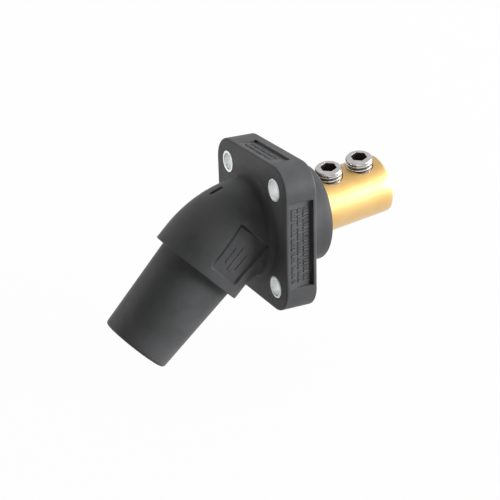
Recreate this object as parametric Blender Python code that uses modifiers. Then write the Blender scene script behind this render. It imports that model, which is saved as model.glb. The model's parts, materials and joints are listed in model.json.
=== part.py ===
"""Angled panel receptacle: a square-flanged rubber housing whose nose turns down at an angle.

Metres, +Z up. The origin is the centre of the flange's rear face, which lies on the panel. The nose
points out of the panel towards -Y and down, and the cable barrel points back through it towards +Y.
"""
import math

import bmesh
import bpy
from mathutils import Matrix, Vector

MM = 0.001

# Clearances
FIT_GAP = 0.3 * MM
SCREW_HOLE_CLEARANCE = 0.25 * MM
CUT_MARGIN = 2.0 * MM

# Radii of the contact, the sleeve round it and the elbow round both, each wall set by itself
CONTACT_BORE_RADIUS = 8.0 * MM
CONTACT_WALL = 3.0 * MM
SHOULDER_STEP = 2.2 * MM
SLEEVE_SEAT_WALL = 3.85 * MM
NOSE_TAPER = 2.05 * MM
COLLAR_WALL = 3.25 * MM
CONTACT_RADIUS = CONTACT_BORE_RADIUS + CONTACT_WALL
SHOULDER_RADIUS = CONTACT_RADIUS + SHOULDER_STEP
NOSE_ROOT_RADIUS = SHOULDER_RADIUS + FIT_GAP + SLEEVE_SEAT_WALL
NOSE_MOUTH_RADIUS = NOSE_ROOT_RADIUS - NOSE_TAPER
ELBOW_RADIUS = NOSE_ROOT_RADIUS + FIT_GAP + COLLAR_WALL

# Mounting holes with their bushes, on a square of 42.86 mm that clears the elbow's foot
BUSH_BORE_RADIUS = 3.65 * MM
BUSH_WALL = 1.1 * MM
BUSH_EDGE = 0.3 * MM
ELBOW_FOOT_RADIUS = 3.0 * MM
HOLE_LAND = 1.3566 * MM
HOLE_EDGE_DISTANCE = 10.32 * MM
BUSH_RADIUS = BUSH_BORE_RADIUS + BUSH_WALL
HOLE_DIAGONAL = ELBOW_RADIUS + ELBOW_FOOT_RADIUS + HOLE_LAND + FIT_GAP + BUSH_RADIUS
HOLE_SPACING = math.sqrt(2.0) * HOLE_DIAGONAL

# Flange
FLANGE_SIDE = HOLE_SPACING + 2.0 * HOLE_EDGE_DISTANCE
FLANGE_THICKNESS = 14.3 * MM
FLANGE_CORNER_RADIUS = 11.0 * MM
FLANGE_EDGE_RADIUS = 1.0 * MM

# Reaches along the nose, from the corner where the nose's axis crosses the panel's axis
NOSE_ANGLE = math.radians(44.5)
CORNER_REACH = 11.3 * MM
SEAT_REACH = 6.0 * MM
SOCKET_DEPTH = 15.4 * MM
NOSE_LENGTH = 41.3 * MM
COLLAR_REACH = SEAT_REACH + SOCKET_DEPTH
NOSE_REACH = COLLAR_REACH + NOSE_LENGTH

# Elbow and collar
ELBOW_BEND_RADIUS = 36.6 * MM
COLLAR_EDGE_RADIUS = 0.4 * MM

# Wedge-shaped recesses of the flange's side and top faces, which stop short of its round corners
RECESS_FRONT_LAND = 1.4 * MM
SIDE_RECESS_LOW_LAND = 1.75 * MM
SIDE_RECESS_HIGH_LAND = 2.55 * MM
SIDE_RECESS_REAR_LAND = 1.7 * MM
SIDE_RECESS_DEPTH = 1.9 * MM
TOP_RECESS_LOW_LAND = 7.15 * MM
TOP_RECESS_HIGH_LAND = 3.35 * MM
TOP_RECESS_REAR_LAND = 4.3 * MM
TOP_RECESS_DEPTH = 1.1 * MM

# Recesses of the elbow: an even one on its side and a short notch on its top
ELBOW_RECESS_WIDTH = 15.6 * MM
ELBOW_RECESS_OFFSET = 0.6 * MM
ELBOW_RECESS_LENGTH = 21.7 * MM
ELBOW_RECESS_RIM_LAND = 4.4 * MM
ELBOW_RECESS_DEPTH = 1.2 * MM
NOTCH_LENGTH = 6.0 * MM
NOTCH_REACH = 15.4 * MM
NOTCH_DEPTH = 0.9 * MM
NOTCH_WALL_X = -1.2 * MM
ELBOW_RECESS_END = COLLAR_REACH - ELBOW_RECESS_RIM_LAND

# Nose sleeve
NOSE_MOUTH_EDGE_RADIUS = 1.3 * MM
MOUTH_STEP = 0.3 * MM
MOUTH_LIP = 5.0 * MM
MOUTH_CHAMFER = 1.0 * MM

# Female contact and what fastens it
CONTACT_LEAD_IN = 1.0 * MM
CONTACT_FLOOR = 9.7 * MM
SHOULDER_LENGTH = 7.9 * MM
CAM_PIN_RADIUS = 1.6 * MM
CAM_PIN_SETBACK = 6.0 * MM
CAM_PIN_STAND = 3.0 * MM
BOLT_RADIUS = 4.0 * MM
BOLT_HEAD_CLEARANCE = 1.5 * MM
BOLT_HEAD_HEIGHT = 8.0 * MM
BOLT_HEX = 6.0 * MM
BOLT_HEX_DEPTH = 4.0 * MM
BOLT_EDGE = 0.5 * MM
BOLT_GRIP_IN_BARREL = 11.0 * MM
WASHER_THICKNESS = 2.0 * MM
WASHER_SPLIT = 1.2 * MM
WASHER_SPLIT_SLANT = math.radians(20.0)
MOUTH_BORE_RADIUS = CONTACT_BORE_RADIUS + CONTACT_LEAD_IN + MOUTH_STEP
BOLT_HEAD_RADIUS = CONTACT_BORE_RADIUS - BOLT_HEAD_CLEARANCE

# Set screws of the barrel
SCREW_COUNT = 2
SCREW_ROLL = math.radians(11.3)
SCREW_RADIUS = 5.9 * MM
SCREW_LENGTH = 12.0 * MM
SCREW_STAND = 3.9 * MM
SCREW_CROWN_EDGE = 0.35 * MM
SCREW_CROWN_HEIGHT = 0.7 * MM
SCREW_HEX = 6.35 * MM
SCREW_HEX_DEPTH = 4.5 * MM
SCREW_POINT_EDGE = 2.5 * MM
SCREW_POINT_HEIGHT = 1.8 * MM
SCREW_LAND = 3.5 * MM

# Cable barrel, and the boss behind the flange that holds it and passes through the panel
BARREL_TILT = math.radians(8.0)
CABLE_BORE_RADIUS = 8.3 * MM
CABLE_BORE_DEPTH = 39.0 * MM
CABLE_BORE_POINT = 2.8 * MM
CABLE_BORE_CHAMFER = 0.8 * MM
BARREL_WALL = 4.75 * MM
BARREL_EDGE = 0.7 * MM
BARREL_END_LAND = 3.45 * MM
BOSS_WALL = 7.65 * MM
BOSS_LENGTH = 13.9 * MM
BOSS_EDGE_RADIUS = 0.6 * MM
BOSS_TO_SCREW = 4.45 * MM
BARREL_RADIUS = CABLE_BORE_RADIUS + BARREL_WALL
BOSS_RADIUS = BARREL_RADIUS + FIT_GAP + BOSS_WALL
FIRST_SCREW = BOSS_LENGTH + BOSS_TO_SCREW + SCREW_RADIUS
SCREW_SPACING = 2.0 * SCREW_RADIUS + SCREW_LAND
BARREL_REAR = FIRST_SCREW + SCREW_SPACING * (SCREW_COUNT - 1) + SCREW_RADIUS + BARREL_END_LAND

# Facets
TURN_STEPS = 64
FINE_TURN_STEPS = 48
SMALL_TURN_STEPS = 32
PIN_TURN_STEPS = 16
ELBOW_SIDES_RESOLUTION = 30
RECESS_FLOOR_RESOLUTION = 22
CORNER_SEGMENTS = 12
EDGE_SEGMENTS = 3
FOOT_STEPS = 5
ARC_STEP = math.radians(2.6)
SHARP_ANGLE = math.radians(32.0)
ROUND_PROFILE = 0.5
MERGE_DISTANCE = 0.00001

# Where the nose's axis crosses the panel's axis
CORNER_Y = -(FLANGE_THICKNESS + CORNER_REACH)
NOSE_AXIS = Vector((0.0, -math.cos(NOSE_ANGLE), -math.sin(NOSE_ANGLE)))
BARREL_AXIS = Vector((0.0, math.cos(BARREL_TILT), math.sin(BARREL_TILT)))


def clear_scene():
    for leftover in list(bpy.data.objects):
        bpy.data.objects.remove(leftover, do_unlink=True)


def new_collection(name):
    collection = bpy.data.collections.new(name)
    bpy.context.scene.collection.children.link(collection)
    return collection


def new_material(name, colour, roughness, metallic):
    """A Principled material with one colour and finish."""
    material = bpy.data.materials.new(name)
    material.use_nodes = True
    shader = material.node_tree.nodes["Principled BSDF"]
    shader.inputs["Base Color"].default_value = (*colour, 1.0)
    shader.inputs["Roughness"].default_value = roughness
    shader.inputs["Metallic"].default_value = metallic
    return material


def new_object(name, mesh, collection, material=None, parent=None):
    item = bpy.data.objects.new(name, mesh)
    collection.objects.link(item)
    item.parent = parent
    if material is not None:
        mesh.materials.append(material)
    return item


def axis_turn(z_axis, x_axis=Vector((1.0, 0.0, 0.0))):
    """The rotation that takes local Z to one direction and local X to another, square to it."""
    return Matrix((x_axis, z_axis.cross(x_axis), z_axis)).transposed()


def new_frame(name, collection, location, turn, parent=None):
    """An empty that places what is built about its own axes."""
    frame = bpy.data.objects.new(name, None)
    collection.objects.link(frame)
    frame.parent = parent
    frame.location = location
    frame.rotation_euler = turn.to_euler()
    return frame


def mark_as_cutter(item):
    item.hide_render = True
    item.display_type = "WIRE"
    return item


def shade_smooth(item):
    item.data.shade_smooth()
    item.data.set_sharp_from_angle(angle=SHARP_ANGLE)


def combine(item, other, operation):
    """Leave an exact Boolean with another closed object on an item."""
    modifier = item.modifiers.new(f"{operation.lower()} {other.name}", "BOOLEAN")
    modifier.operation = operation
    modifier.object = other
    modifier.solver = "EXACT"


def round_edge(outer_radius, top, edge_radius):
    """Profile points of a quarter round between a flat top and an outer wall."""
    points = []
    for step in range(EDGE_SEGMENTS + 1):
        angle = math.pi / 2.0 * (1.0 - step / EDGE_SEGMENTS)
        radius = outer_radius - edge_radius * (1.0 - math.cos(angle))
        points.append((radius, top - edge_radius * (1.0 - math.sin(angle))))
    return points


def turned(name, profile, collection, material=None, parent=None, steps=TURN_STEPS, closed=False):
    """Turn a profile of (radius, height) points, outer side from top to bottom, about local Z."""
    mesh = bpy.data.meshes.new(name)
    edges = [(index, index + 1) for index in range(len(profile) - 1)]
    if closed:
        edges.append((len(profile) - 1, 0))
    mesh.from_pydata([(radius, 0.0, height) for radius, height in profile], edges, [])
    item = new_object(name, mesh, collection, material, parent)
    screw = item.modifiers.new("turn", "SCREW")
    screw.axis = "Z"
    screw.steps = steps
    screw.render_steps = steps
    screw.use_merge_vertices = True
    screw.merge_threshold = MERGE_DISTANCE
    screw.use_smooth_shade = True
    return item


def box(name, size, location, rotation, collection, parent=None):
    """A closed box with its scale already in its mesh."""
    mesh = bpy.data.meshes.new(name)
    shape = bmesh.new()
    bmesh.ops.create_cube(shape, size=1.0)
    bmesh.ops.scale(shape, vec=size, verts=shape.verts)
    shape.to_mesh(mesh)
    shape.free()
    item = new_object(name, mesh, collection, None, parent)
    item.location = location
    item.rotation_euler = rotation
    return item


def hexagon_cutter(name, across_flats, depth, mouth_height, collection, parent):
    """A hexagonal plug that sinks a key socket below a height on local Z."""
    mesh = bpy.data.meshes.new(name)
    shape = bmesh.new()
    corner_radius = across_flats / (2.0 * math.cos(math.pi / 6.0))
    length = depth + CUT_MARGIN
    bmesh.ops.create_cone(
        shape, cap_ends=True, segments=6, radius1=corner_radius, radius2=corner_radius, depth=length
    )
    bmesh.ops.translate(shape, vec=(0.0, 0.0, mouth_height - depth + length / 2.0), verts=shape.verts)
    shape.to_mesh(mesh)
    shape.free()
    return mark_as_cutter(new_object(name, mesh, collection, None, parent))


def drill(name, radius, low, high, collection, parent, steps=SMALL_TURN_STEPS):
    """A round cutter about local Z between two heights."""
    profile = [(0.0, high), (radius, high), (radius, low), (0.0, low)]
    return mark_as_cutter(turned(name, profile, collection, None, parent, steps))


def elbow_path():
    """Points of the elbow's centre line, from inside the flange to the collar's rim.

    It leaves the flange along the panel's axis, turns down on an arc that is tangent to both axes
    and runs straight along the nose's axis to the collar's rim.
    """
    tangent_length = ELBOW_BEND_RADIUS * math.tan(NOSE_ANGLE / 2.0)
    arc_start_y = CORNER_Y + tangent_length
    centre = Vector((0.0, arc_start_y, -ELBOW_BEND_RADIUS))
    root_y = -FLANGE_THICKNESS / 2.0
    points = [Vector((0.0, root_y, 0.0))]
    arc_steps = math.ceil(NOSE_ANGLE / ARC_STEP)
    for step in range(arc_steps + 1):
        angle = NOSE_ANGLE * step / arc_steps
        point = centre + ELBOW_BEND_RADIUS * Vector((0.0, -math.sin(angle), math.cos(angle)))
        if point.y < root_y:
            points.append(point)
    points.append(Vector((0.0, CORNER_Y, 0.0)) + COLLAR_REACH * NOSE_AXIS)
    return points


def foot_swell(distance):
    """How far the elbow's foot stands out at a distance in front of the flange: a quarter round."""
    inside = ELBOW_FOOT_RADIUS - min(max(distance, 0.0), ELBOW_FOOT_RADIUS)
    return ELBOW_FOOT_RADIUS - math.sqrt(ELBOW_FOOT_RADIUS ** 2 - inside ** 2)


def swept_tube(name, stations, sides_resolution, collection):
    """A closed round bar through (point, radius) stations, made from a bevelled curve."""
    curve = bpy.data.curves.new(name, "CURVE")
    curve.dimensions = "3D"
    curve.bevel_depth = 1.0
    curve.bevel_resolution = sides_resolution
    curve.use_fill_caps = True
    spline = curve.splines.new("POLY")
    spline.points.add(len(stations) - 1)
    for spline_point, (place, radius) in zip(spline.points, stations):
        spline_point.co = (*place, 1.0)
        spline_point.radius = radius
    guide = bpy.data.objects.new(name, curve)
    collection.objects.link(guide)
    bpy.context.view_layer.update()
    evaluated = guide.evaluated_get(bpy.context.evaluated_depsgraph_get())
    mesh = bpy.data.meshes.new_from_object(evaluated)
    shape = bmesh.new()
    shape.from_mesh(mesh)
    bmesh.ops.remove_doubles(shape, verts=shape.verts, dist=MERGE_DISTANCE)
    bmesh.ops.recalc_face_normals(shape, faces=shape.faces)
    shape.to_mesh(mesh)
    shape.free()
    item = new_object(name + "_solid", mesh, collection)
    item.matrix_world = guide.matrix_world
    bpy.data.objects.remove(guide, do_unlink=True)
    return mark_as_cutter(item)


def elbow_stations():
    """The elbow's centre line with its radius, swollen at the foot and eased at the rim."""
    path = elbow_path()
    stations = []
    front_y = -FLANGE_THICKNESS
    foot = [front_y - ELBOW_FOOT_RADIUS * step / FOOT_STEPS for step in range(FOOT_STEPS + 1)]
    beyond = [point for point in path if point.y < foot[-1] - ARC_STEP * ELBOW_BEND_RADIUS / 2.0]
    stations.append((path[0], ELBOW_RADIUS + foot_swell(0.0)))
    for y in foot:
        stations.append((point_at_y(path, y), ELBOW_RADIUS + foot_swell(front_y - y)))
    for point in beyond[:-1]:
        stations.append((point, ELBOW_RADIUS))
    rim = beyond[-1]
    stations.append((rim - COLLAR_EDGE_RADIUS * NOSE_AXIS, ELBOW_RADIUS))
    stations.append((rim, ELBOW_RADIUS - COLLAR_EDGE_RADIUS))
    return stations


def point_at_y(path, y):
    """The point of the centre line at a given y."""
    for near, far in zip(path, path[1:]):
        if far.y <= y <= near.y:
            return near.lerp(far, (near.y - y) / (near.y - far.y))
    return path[-1]


def elbow_side_recess(cutters, nose_frame):
    """A shallow pad sunk into the elbow's +X side to an even depth.

    The cutter is a box from which a slimmer elbow is taken, so its floor follows the elbow's round.
    """
    floor_stations = [(point, ELBOW_RADIUS - ELBOW_RECESS_DEPTH) for point in elbow_path()]
    floor = swept_tube("elbow_recess_floor", floor_stations, RECESS_FLOOR_RESOLUTION, cutters)
    depth = ELBOW_RADIUS / 2.0
    recess = box(
        "elbow_side_recess",
        (depth, ELBOW_RECESS_WIDTH, ELBOW_RECESS_LENGTH),
        (ELBOW_RADIUS, -ELBOW_RECESS_OFFSET, ELBOW_RECESS_END - ELBOW_RECESS_LENGTH / 2.0),
        (0.0, 0.0, 0.0),
        cutters,
        nose_frame,
    )
    combine(recess, floor, "DIFFERENCE")
    return mark_as_cutter(recess)


def elbow_top_notch(cutters):
    """A flat-bottomed notch with one steep wall, on top of the elbow."""
    tangent_length = ELBOW_BEND_RADIUS * math.tan(NOSE_ANGLE / 2.0)
    centre = Vector((0.0, CORNER_Y + tangent_length, -ELBOW_BEND_RADIUS))
    swing = math.asin((centre.y + FLANGE_THICKNESS + NOTCH_REACH) / (ELBOW_BEND_RADIUS + ELBOW_RADIUS))
    radial = Vector((0.0, -math.sin(swing), math.cos(swing)))
    floor_distance = ELBOW_BEND_RADIUS + ELBOW_RADIUS - NOTCH_DEPTH
    size = Vector((ELBOW_RADIUS / 2.0, NOTCH_LENGTH, CUT_MARGIN * 2.0))
    middle = centre + radial * (floor_distance + size.z / 2.0)
    middle.x = NOTCH_WALL_X + size.x / 2.0
    return mark_as_cutter(box("elbow_top_notch", size, middle, (swing, 0.0, 0.0), cutters))


def wedge_recess(name, length, run, depth, hinge, rotation, cutters):
    """A box laid so that its floor starts at a hinge line on a face and dives at the far end."""
    height = depth + CUT_MARGIN * 2.0
    slope = math.atan2(depth, run)
    floor_run = run / math.cos(slope)
    mesh = bpy.data.meshes.new(name)
    shape = bmesh.new()
    bmesh.ops.create_cube(shape, size=1.0)
    bmesh.ops.translate(shape, vec=(0.0, 0.5, 0.5), verts=shape.verts)
    bmesh.ops.scale(shape, vec=(length, floor_run, height), verts=shape.verts)
    bmesh.ops.rotate(shape, cent=(0.0, 0.0, 0.0), matrix=Matrix.Rotation(-slope, 3, "X"), verts=shape.verts)
    shape.to_mesh(mesh)
    shape.free()
    item = new_object(name, mesh, cutters)
    item.location = hinge
    item.rotation_euler = rotation
    return mark_as_cutter(item)


def hole_places():
    half = HOLE_SPACING / 2.0
    return [Vector((x * half, 0.0, z * half)) for z in (1.0, -1.0) for x in (-1.0, 1.0)]


def flange_slab(collection, material):
    """The square flange with round corners and softened edges."""
    mesh = bpy.data.meshes.new("housing")
    shape = bmesh.new()
    bmesh.ops.create_cube(shape, size=1.0)
    bmesh.ops.scale(shape, vec=(FLANGE_SIDE, FLANGE_THICKNESS, FLANGE_SIDE), verts=shape.verts)
    bmesh.ops.translate(shape, vec=(0.0, -FLANGE_THICKNESS / 2.0, 0.0), verts=shape.verts)
    through_edges = [
        edge for edge in shape.edges if abs(edge.verts[0].co.y - edge.verts[1].co.y) > CUT_MARGIN
    ]
    bmesh.ops.bevel(
        shape,
        geom=through_edges,
        offset=FLANGE_CORNER_RADIUS,
        segments=CORNER_SEGMENTS,
        profile=ROUND_PROFILE,
        affect="EDGES",
    )
    shape.to_mesh(mesh)
    shape.free()
    slab = new_object("housing", mesh, collection, material)
    edges = slab.modifiers.new("soft edges", "BEVEL")
    edges.width = FLANGE_EDGE_RADIUS
    edges.segments = EDGE_SEGMENTS
    edges.limit_method = "ANGLE"
    edges.angle_limit = SHARP_ANGLE
    return slab


def boss_solid(cutters, panel_frame):
    """The round boss behind the flange, rooted inside it."""
    root = -FLANGE_THICKNESS / 2.0
    profile = [(0.0, BOSS_LENGTH)]
    profile += round_edge(BOSS_RADIUS, BOSS_LENGTH, BOSS_EDGE_RADIUS)
    profile += [(BOSS_RADIUS, root), (0.0, root)]
    return mark_as_cutter(turned("boss", profile, cutters, None, panel_frame))


def cut_bar(name, radius, rear, seat_reach, rear_edge, collection, material, parent):
    """A round bar on the barrel's axis whose front is cut square to the nose at a reach."""
    shape = bmesh.new()
    lowest = -(ELBOW_BEND_RADIUS + ELBOW_RADIUS)
    mesh = bpy.data.meshes.new(name)
    bmesh.ops.create_cone(
        shape, cap_ends=True, segments=TURN_STEPS, radius1=radius, radius2=radius, depth=rear - lowest
    )
    bmesh.ops.translate(shape, vec=(0.0, 0.0, (rear + lowest) / 2.0), verts=shape.verts)
    rim = [edge for edge in shape.edges if all(abs(v.co.z - rear) < MERGE_DISTANCE for v in edge.verts)]
    if rear_edge > 0.0:
        bmesh.ops.bevel(
            shape, geom=rim, offset=rear_edge, segments=EDGE_SEGMENTS, profile=ROUND_PROFILE, affect="EDGES"
        )
    to_barrel = axis_turn(BARREL_AXIS).inverted()
    point = to_barrel @ (Vector((0.0, CORNER_Y, 0.0)) + seat_reach * NOSE_AXIS)
    normal = to_barrel @ NOSE_AXIS
    sliced = bmesh.ops.bisect_plane(
        shape,
        geom=shape.verts[:] + shape.edges[:] + shape.faces[:],
        dist=MERGE_DISTANCE / 10.0,
        plane_co=point,
        plane_no=normal,
        clear_outer=True,
    )
    cut_edges = [piece for piece in sliced["geom_cut"] if isinstance(piece, bmesh.types.BMEdge)]
    bmesh.ops.edgenet_fill(shape, edges=cut_edges)
    bmesh.ops.recalc_face_normals(shape, faces=shape.faces)
    shape.to_mesh(mesh)
    shape.free()
    return new_object(name, mesh, collection, material, parent)


def flange_recesses(cutters):
    """The wedge recesses of the flange's +X side and of its top."""
    half = FLANGE_SIDE / 2.0
    flat_half = half - FLANGE_CORNER_RADIUS
    front_y = RECESS_FRONT_LAND - FLANGE_THICKNESS
    side_low = SIDE_RECESS_LOW_LAND - flat_half
    side_high = flat_half - SIDE_RECESS_HIGH_LAND
    side = wedge_recess(
        "side_recess",
        side_high - side_low,
        -SIDE_RECESS_REAR_LAND - front_y,
        SIDE_RECESS_DEPTH,
        (half, front_y, (side_high + side_low) / 2.0),
        (0.0, math.pi / 2.0, 0.0),
        cutters,
    )
    top_low = TOP_RECESS_LOW_LAND - flat_half
    top_high = flat_half - TOP_RECESS_HIGH_LAND
    top = wedge_recess(
        "top_recess",
        top_high - top_low,
        -TOP_RECESS_REAR_LAND - front_y,
        TOP_RECESS_DEPTH,
        ((top_high + top_low) / 2.0, front_y, half),
        (0.0, 0.0, 0.0),
        cutters,
    )
    return [side, top]


def bush_holes(cutters, panel_frame):
    """Cutters of the four holes that take the bushes."""
    holes = []
    for number, place in enumerate(hole_places(), 1):
        hole = drill(
            f"bush_hole_{number}",
            BUSH_RADIUS + FIT_GAP,
            -FLANGE_THICKNESS - CUT_MARGIN,
            CUT_MARGIN,
            cutters,
            panel_frame,
        )
        hole.location = (place.x, -place.z, 0.0)
        holes.append(hole)
    return holes


def inner_rooms(cutters, frames):
    """Cutters of the barrel's bore and of the sleeve's seat in the collar, which meet in the elbow."""
    barrel_room = cut_bar(
        "barrel_room",
        BARREL_RADIUS + FIT_GAP,
        BARREL_REAR,
        SEAT_REACH + FIT_GAP,
        0.0,
        cutters,
        None,
        frames["barrel"],
    )
    sleeve_room = drill(
        "sleeve_room",
        NOSE_ROOT_RADIUS + FIT_GAP,
        SEAT_REACH,
        COLLAR_REACH + CUT_MARGIN,
        cutters,
        frames["nose"],
        TURN_STEPS,
    )
    return [mark_as_cutter(barrel_room), sleeve_room]


def make_housing(parts, cutters, frames, material):
    """One moulding: flange, boss and elbow joined, then bored for the metal and the sleeve."""
    housing = flange_slab(parts, material)
    for cutter in bush_holes(cutters, frames["panel"]) + flange_recesses(cutters):
        combine(housing, cutter, "DIFFERENCE")
    combine(housing, boss_solid(cutters, frames["panel"]), "UNION")
    elbow = swept_tube("elbow", elbow_stations(), ELBOW_SIDES_RESOLUTION, cutters)
    combine(housing, elbow, "UNION")
    combine(housing, elbow_side_recess(cutters, frames["nose"]), "DIFFERENCE")
    combine(housing, elbow_top_notch(cutters), "DIFFERENCE")
    for cutter in inner_rooms(cutters, frames):
        combine(housing, cutter, "DIFFERENCE")


def make_bushes(parts, frames, material):
    """Four plain metal bushes as long as the flange is thick, with chamfered ends."""
    profile = [
        (BUSH_BORE_RADIUS + BUSH_EDGE, 0.0),
        (BUSH_RADIUS - BUSH_EDGE, 0.0),
        (BUSH_RADIUS, -BUSH_EDGE),
        (BUSH_RADIUS, BUSH_EDGE - FLANGE_THICKNESS),
        (BUSH_RADIUS - BUSH_EDGE, -FLANGE_THICKNESS),
        (BUSH_BORE_RADIUS + BUSH_EDGE, -FLANGE_THICKNESS),
        (BUSH_BORE_RADIUS, BUSH_EDGE - FLANGE_THICKNESS),
        (BUSH_BORE_RADIUS, -BUSH_EDGE),
    ]
    for number, place in enumerate(hole_places(), 1):
        bush = turned(
            f"mounting_bush_{number}",
            profile,
            parts,
            material,
            frames["panel"],
            SMALL_TURN_STEPS,
            closed=True,
        )
        bush.location = (place.x, -place.z, 0.0)


def make_nose_sleeve(parts, frames, material):
    """The tapered sleeve: straight inside the collar, tapered outside it, bored for the contact."""
    rear = SEAT_REACH + FIT_GAP
    lip_start = NOSE_REACH - MOUTH_LIP
    shoulder_front = rear + SHOULDER_LENGTH + FIT_GAP
    contact_room = CONTACT_RADIUS + FIT_GAP
    profile = [(MOUTH_BORE_RADIUS + MOUTH_CHAMFER, NOSE_REACH)]
    profile += round_edge(NOSE_MOUTH_RADIUS, NOSE_REACH, NOSE_MOUTH_EDGE_RADIUS)
    profile += [
        (NOSE_ROOT_RADIUS, COLLAR_REACH),
        (NOSE_ROOT_RADIUS, rear),
        (SHOULDER_RADIUS + FIT_GAP, rear),
        (SHOULDER_RADIUS + FIT_GAP, shoulder_front),
        (contact_room, shoulder_front),
        (contact_room, lip_start + FIT_GAP),
        (MOUTH_BORE_RADIUS, lip_start + FIT_GAP),
        (MOUTH_BORE_RADIUS, NOSE_REACH - MOUTH_CHAMFER),
    ]
    turned("nose_sleeve", profile, parts, material, frames["nose"], closed=True)


def make_contact(parts, cutters, frames, brass, steel):
    """The female contact, its cam pin, and the screw and washer that clamp it to the barrel."""
    nose = frames["nose"]
    rear = SEAT_REACH + FIT_GAP
    front = NOSE_REACH - MOUTH_LIP
    floor = rear + CONTACT_FLOOR
    shoulder_front = rear + SHOULDER_LENGTH
    bolt_hole = BOLT_RADIUS + FIT_GAP
    profile = [
        (CONTACT_BORE_RADIUS + CONTACT_LEAD_IN, front),
        (CONTACT_RADIUS, front),
        (CONTACT_RADIUS, shoulder_front),
        (SHOULDER_RADIUS, shoulder_front),
        (SHOULDER_RADIUS, rear),
        (bolt_hole, rear),
        (bolt_hole, floor),
        (CONTACT_BORE_RADIUS, floor),
        (CONTACT_BORE_RADIUS, front - CONTACT_LEAD_IN),
    ]
    contact = turned("female_contact", profile, parts, brass, nose, SMALL_TURN_STEPS, closed=True)
    pin_turn = axis_turn(Vector((0.0, 1.0, 0.0)))
    pin_frame = new_frame("cam_pin_frame", parts, (0.0, 0.0, front - CAM_PIN_SETBACK), pin_turn, nose)
    pin_hole = drill(
        "cam_pin_hole",
        CAM_PIN_RADIUS + FIT_GAP,
        CONTACT_BORE_RADIUS / 2.0,
        CONTACT_RADIUS + CUT_MARGIN,
        cutters,
        pin_frame,
        PIN_TURN_STEPS,
    )
    combine(contact, pin_hole, "DIFFERENCE")
    pin_profile = [
        (0.0, CONTACT_RADIUS),
        (CAM_PIN_RADIUS, CONTACT_RADIUS),
        (CAM_PIN_RADIUS, CONTACT_BORE_RADIUS - CAM_PIN_STAND),
        (0.0, CONTACT_BORE_RADIUS - CAM_PIN_STAND),
    ]
    turned("cam_pin", pin_profile, parts, steel, pin_frame, PIN_TURN_STEPS)
    washer_low = floor + FIT_GAP
    washer_high = washer_low + WASHER_THICKNESS
    washer_profile = [
        (bolt_hole, washer_high),
        (BOLT_HEAD_RADIUS, washer_high),
        (BOLT_HEAD_RADIUS, washer_low),
        (bolt_hole, washer_low),
    ]
    washer = turned("lock_washer", washer_profile, parts, steel, nose, FINE_TURN_STEPS, closed=True)
    split = box(
        "washer_split",
        (WASHER_SPLIT, BOLT_HEAD_RADIUS + CUT_MARGIN, WASHER_THICKNESS + CUT_MARGIN),
        (0.0, (BOLT_HEAD_RADIUS + CUT_MARGIN) / 2.0, washer_low + WASHER_THICKNESS / 2.0),
        (0.0, WASHER_SPLIT_SLANT, 0.0),
        cutters,
        nose,
    )
    combine(washer, mark_as_cutter(split), "DIFFERENCE")
    head_low = washer_high + FIT_GAP
    head_high = head_low + BOLT_HEAD_HEIGHT
    tip = SEAT_REACH - BOLT_GRIP_IN_BARREL
    bolt_profile = [
        (0.0, head_high),
        (BOLT_HEAD_RADIUS - BOLT_EDGE, head_high),
        (BOLT_HEAD_RADIUS, head_high - BOLT_EDGE),
        (BOLT_HEAD_RADIUS, head_low),
        (BOLT_RADIUS, head_low),
        (BOLT_RADIUS, tip + BOLT_EDGE),
        (BOLT_RADIUS - BOLT_EDGE, tip),
        (0.0, tip),
    ]
    bolt = turned("contact_screw", bolt_profile, parts, steel, nose, SMALL_TURN_STEPS)
    socket = hexagon_cutter("contact_screw_socket", BOLT_HEX, BOLT_HEX_DEPTH, head_high, cutters, nose)
    combine(bolt, socket, "DIFFERENCE")


def screw_positions():
    """Distances of the set screws along the barrel, the one nearest the panel first."""
    return [FIRST_SCREW + SCREW_SPACING * step for step in range(SCREW_COUNT)]


def screw_turn():
    """Local Z points out of the barrel, rolled towards +X, and local X runs along the barrel."""
    outward = Vector((math.sin(SCREW_ROLL), -math.cos(SCREW_ROLL), 0.0))
    return axis_turn(outward, Vector((0.0, 0.0, 1.0)))


def make_barrel(parts, cutters, frames, brass):
    """The cable barrel with its cable bore, the two set-screw holes and the contact screw's hole."""
    barrel = cut_bar(
        "cable_barrel", BARREL_RADIUS, BARREL_REAR, SEAT_REACH, BARREL_EDGE, parts, brass, frames["barrel"]
    )
    bore_floor = BARREL_REAR - CABLE_BORE_DEPTH
    bore_profile = [
        (0.0, BARREL_REAR + CUT_MARGIN),
        (CABLE_BORE_RADIUS + CABLE_BORE_CHAMFER + CUT_MARGIN, BARREL_REAR + CUT_MARGIN),
        (CABLE_BORE_RADIUS, BARREL_REAR - CABLE_BORE_CHAMFER),
        (CABLE_BORE_RADIUS, bore_floor),
        (0.0, bore_floor - CABLE_BORE_POINT),
    ]
    bore = turned("cable_bore", bore_profile, cutters, None, frames["barrel"], FINE_TURN_STEPS)
    combine(barrel, mark_as_cutter(bore), "DIFFERENCE")
    bolt_hole = drill(
        "contact_screw_hole",
        BOLT_RADIUS + SCREW_HOLE_CLEARANCE,
        SEAT_REACH - BOLT_GRIP_IN_BARREL - CUT_MARGIN,
        SEAT_REACH + CUT_MARGIN,
        cutters,
        frames["nose"],
    )
    combine(barrel, bolt_hole, "DIFFERENCE")
    for number in range(1, SCREW_COUNT + 1):
        hole = drill(
            f"set_screw_hole_{number}",
            SCREW_RADIUS + SCREW_HOLE_CLEARANCE,
            0.0,
            BARREL_RADIUS + CUT_MARGIN,
            cutters,
            frames[f"screw_{number}"],
            FINE_TURN_STEPS,
        )
        combine(barrel, hole, "DIFFERENCE")


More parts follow.
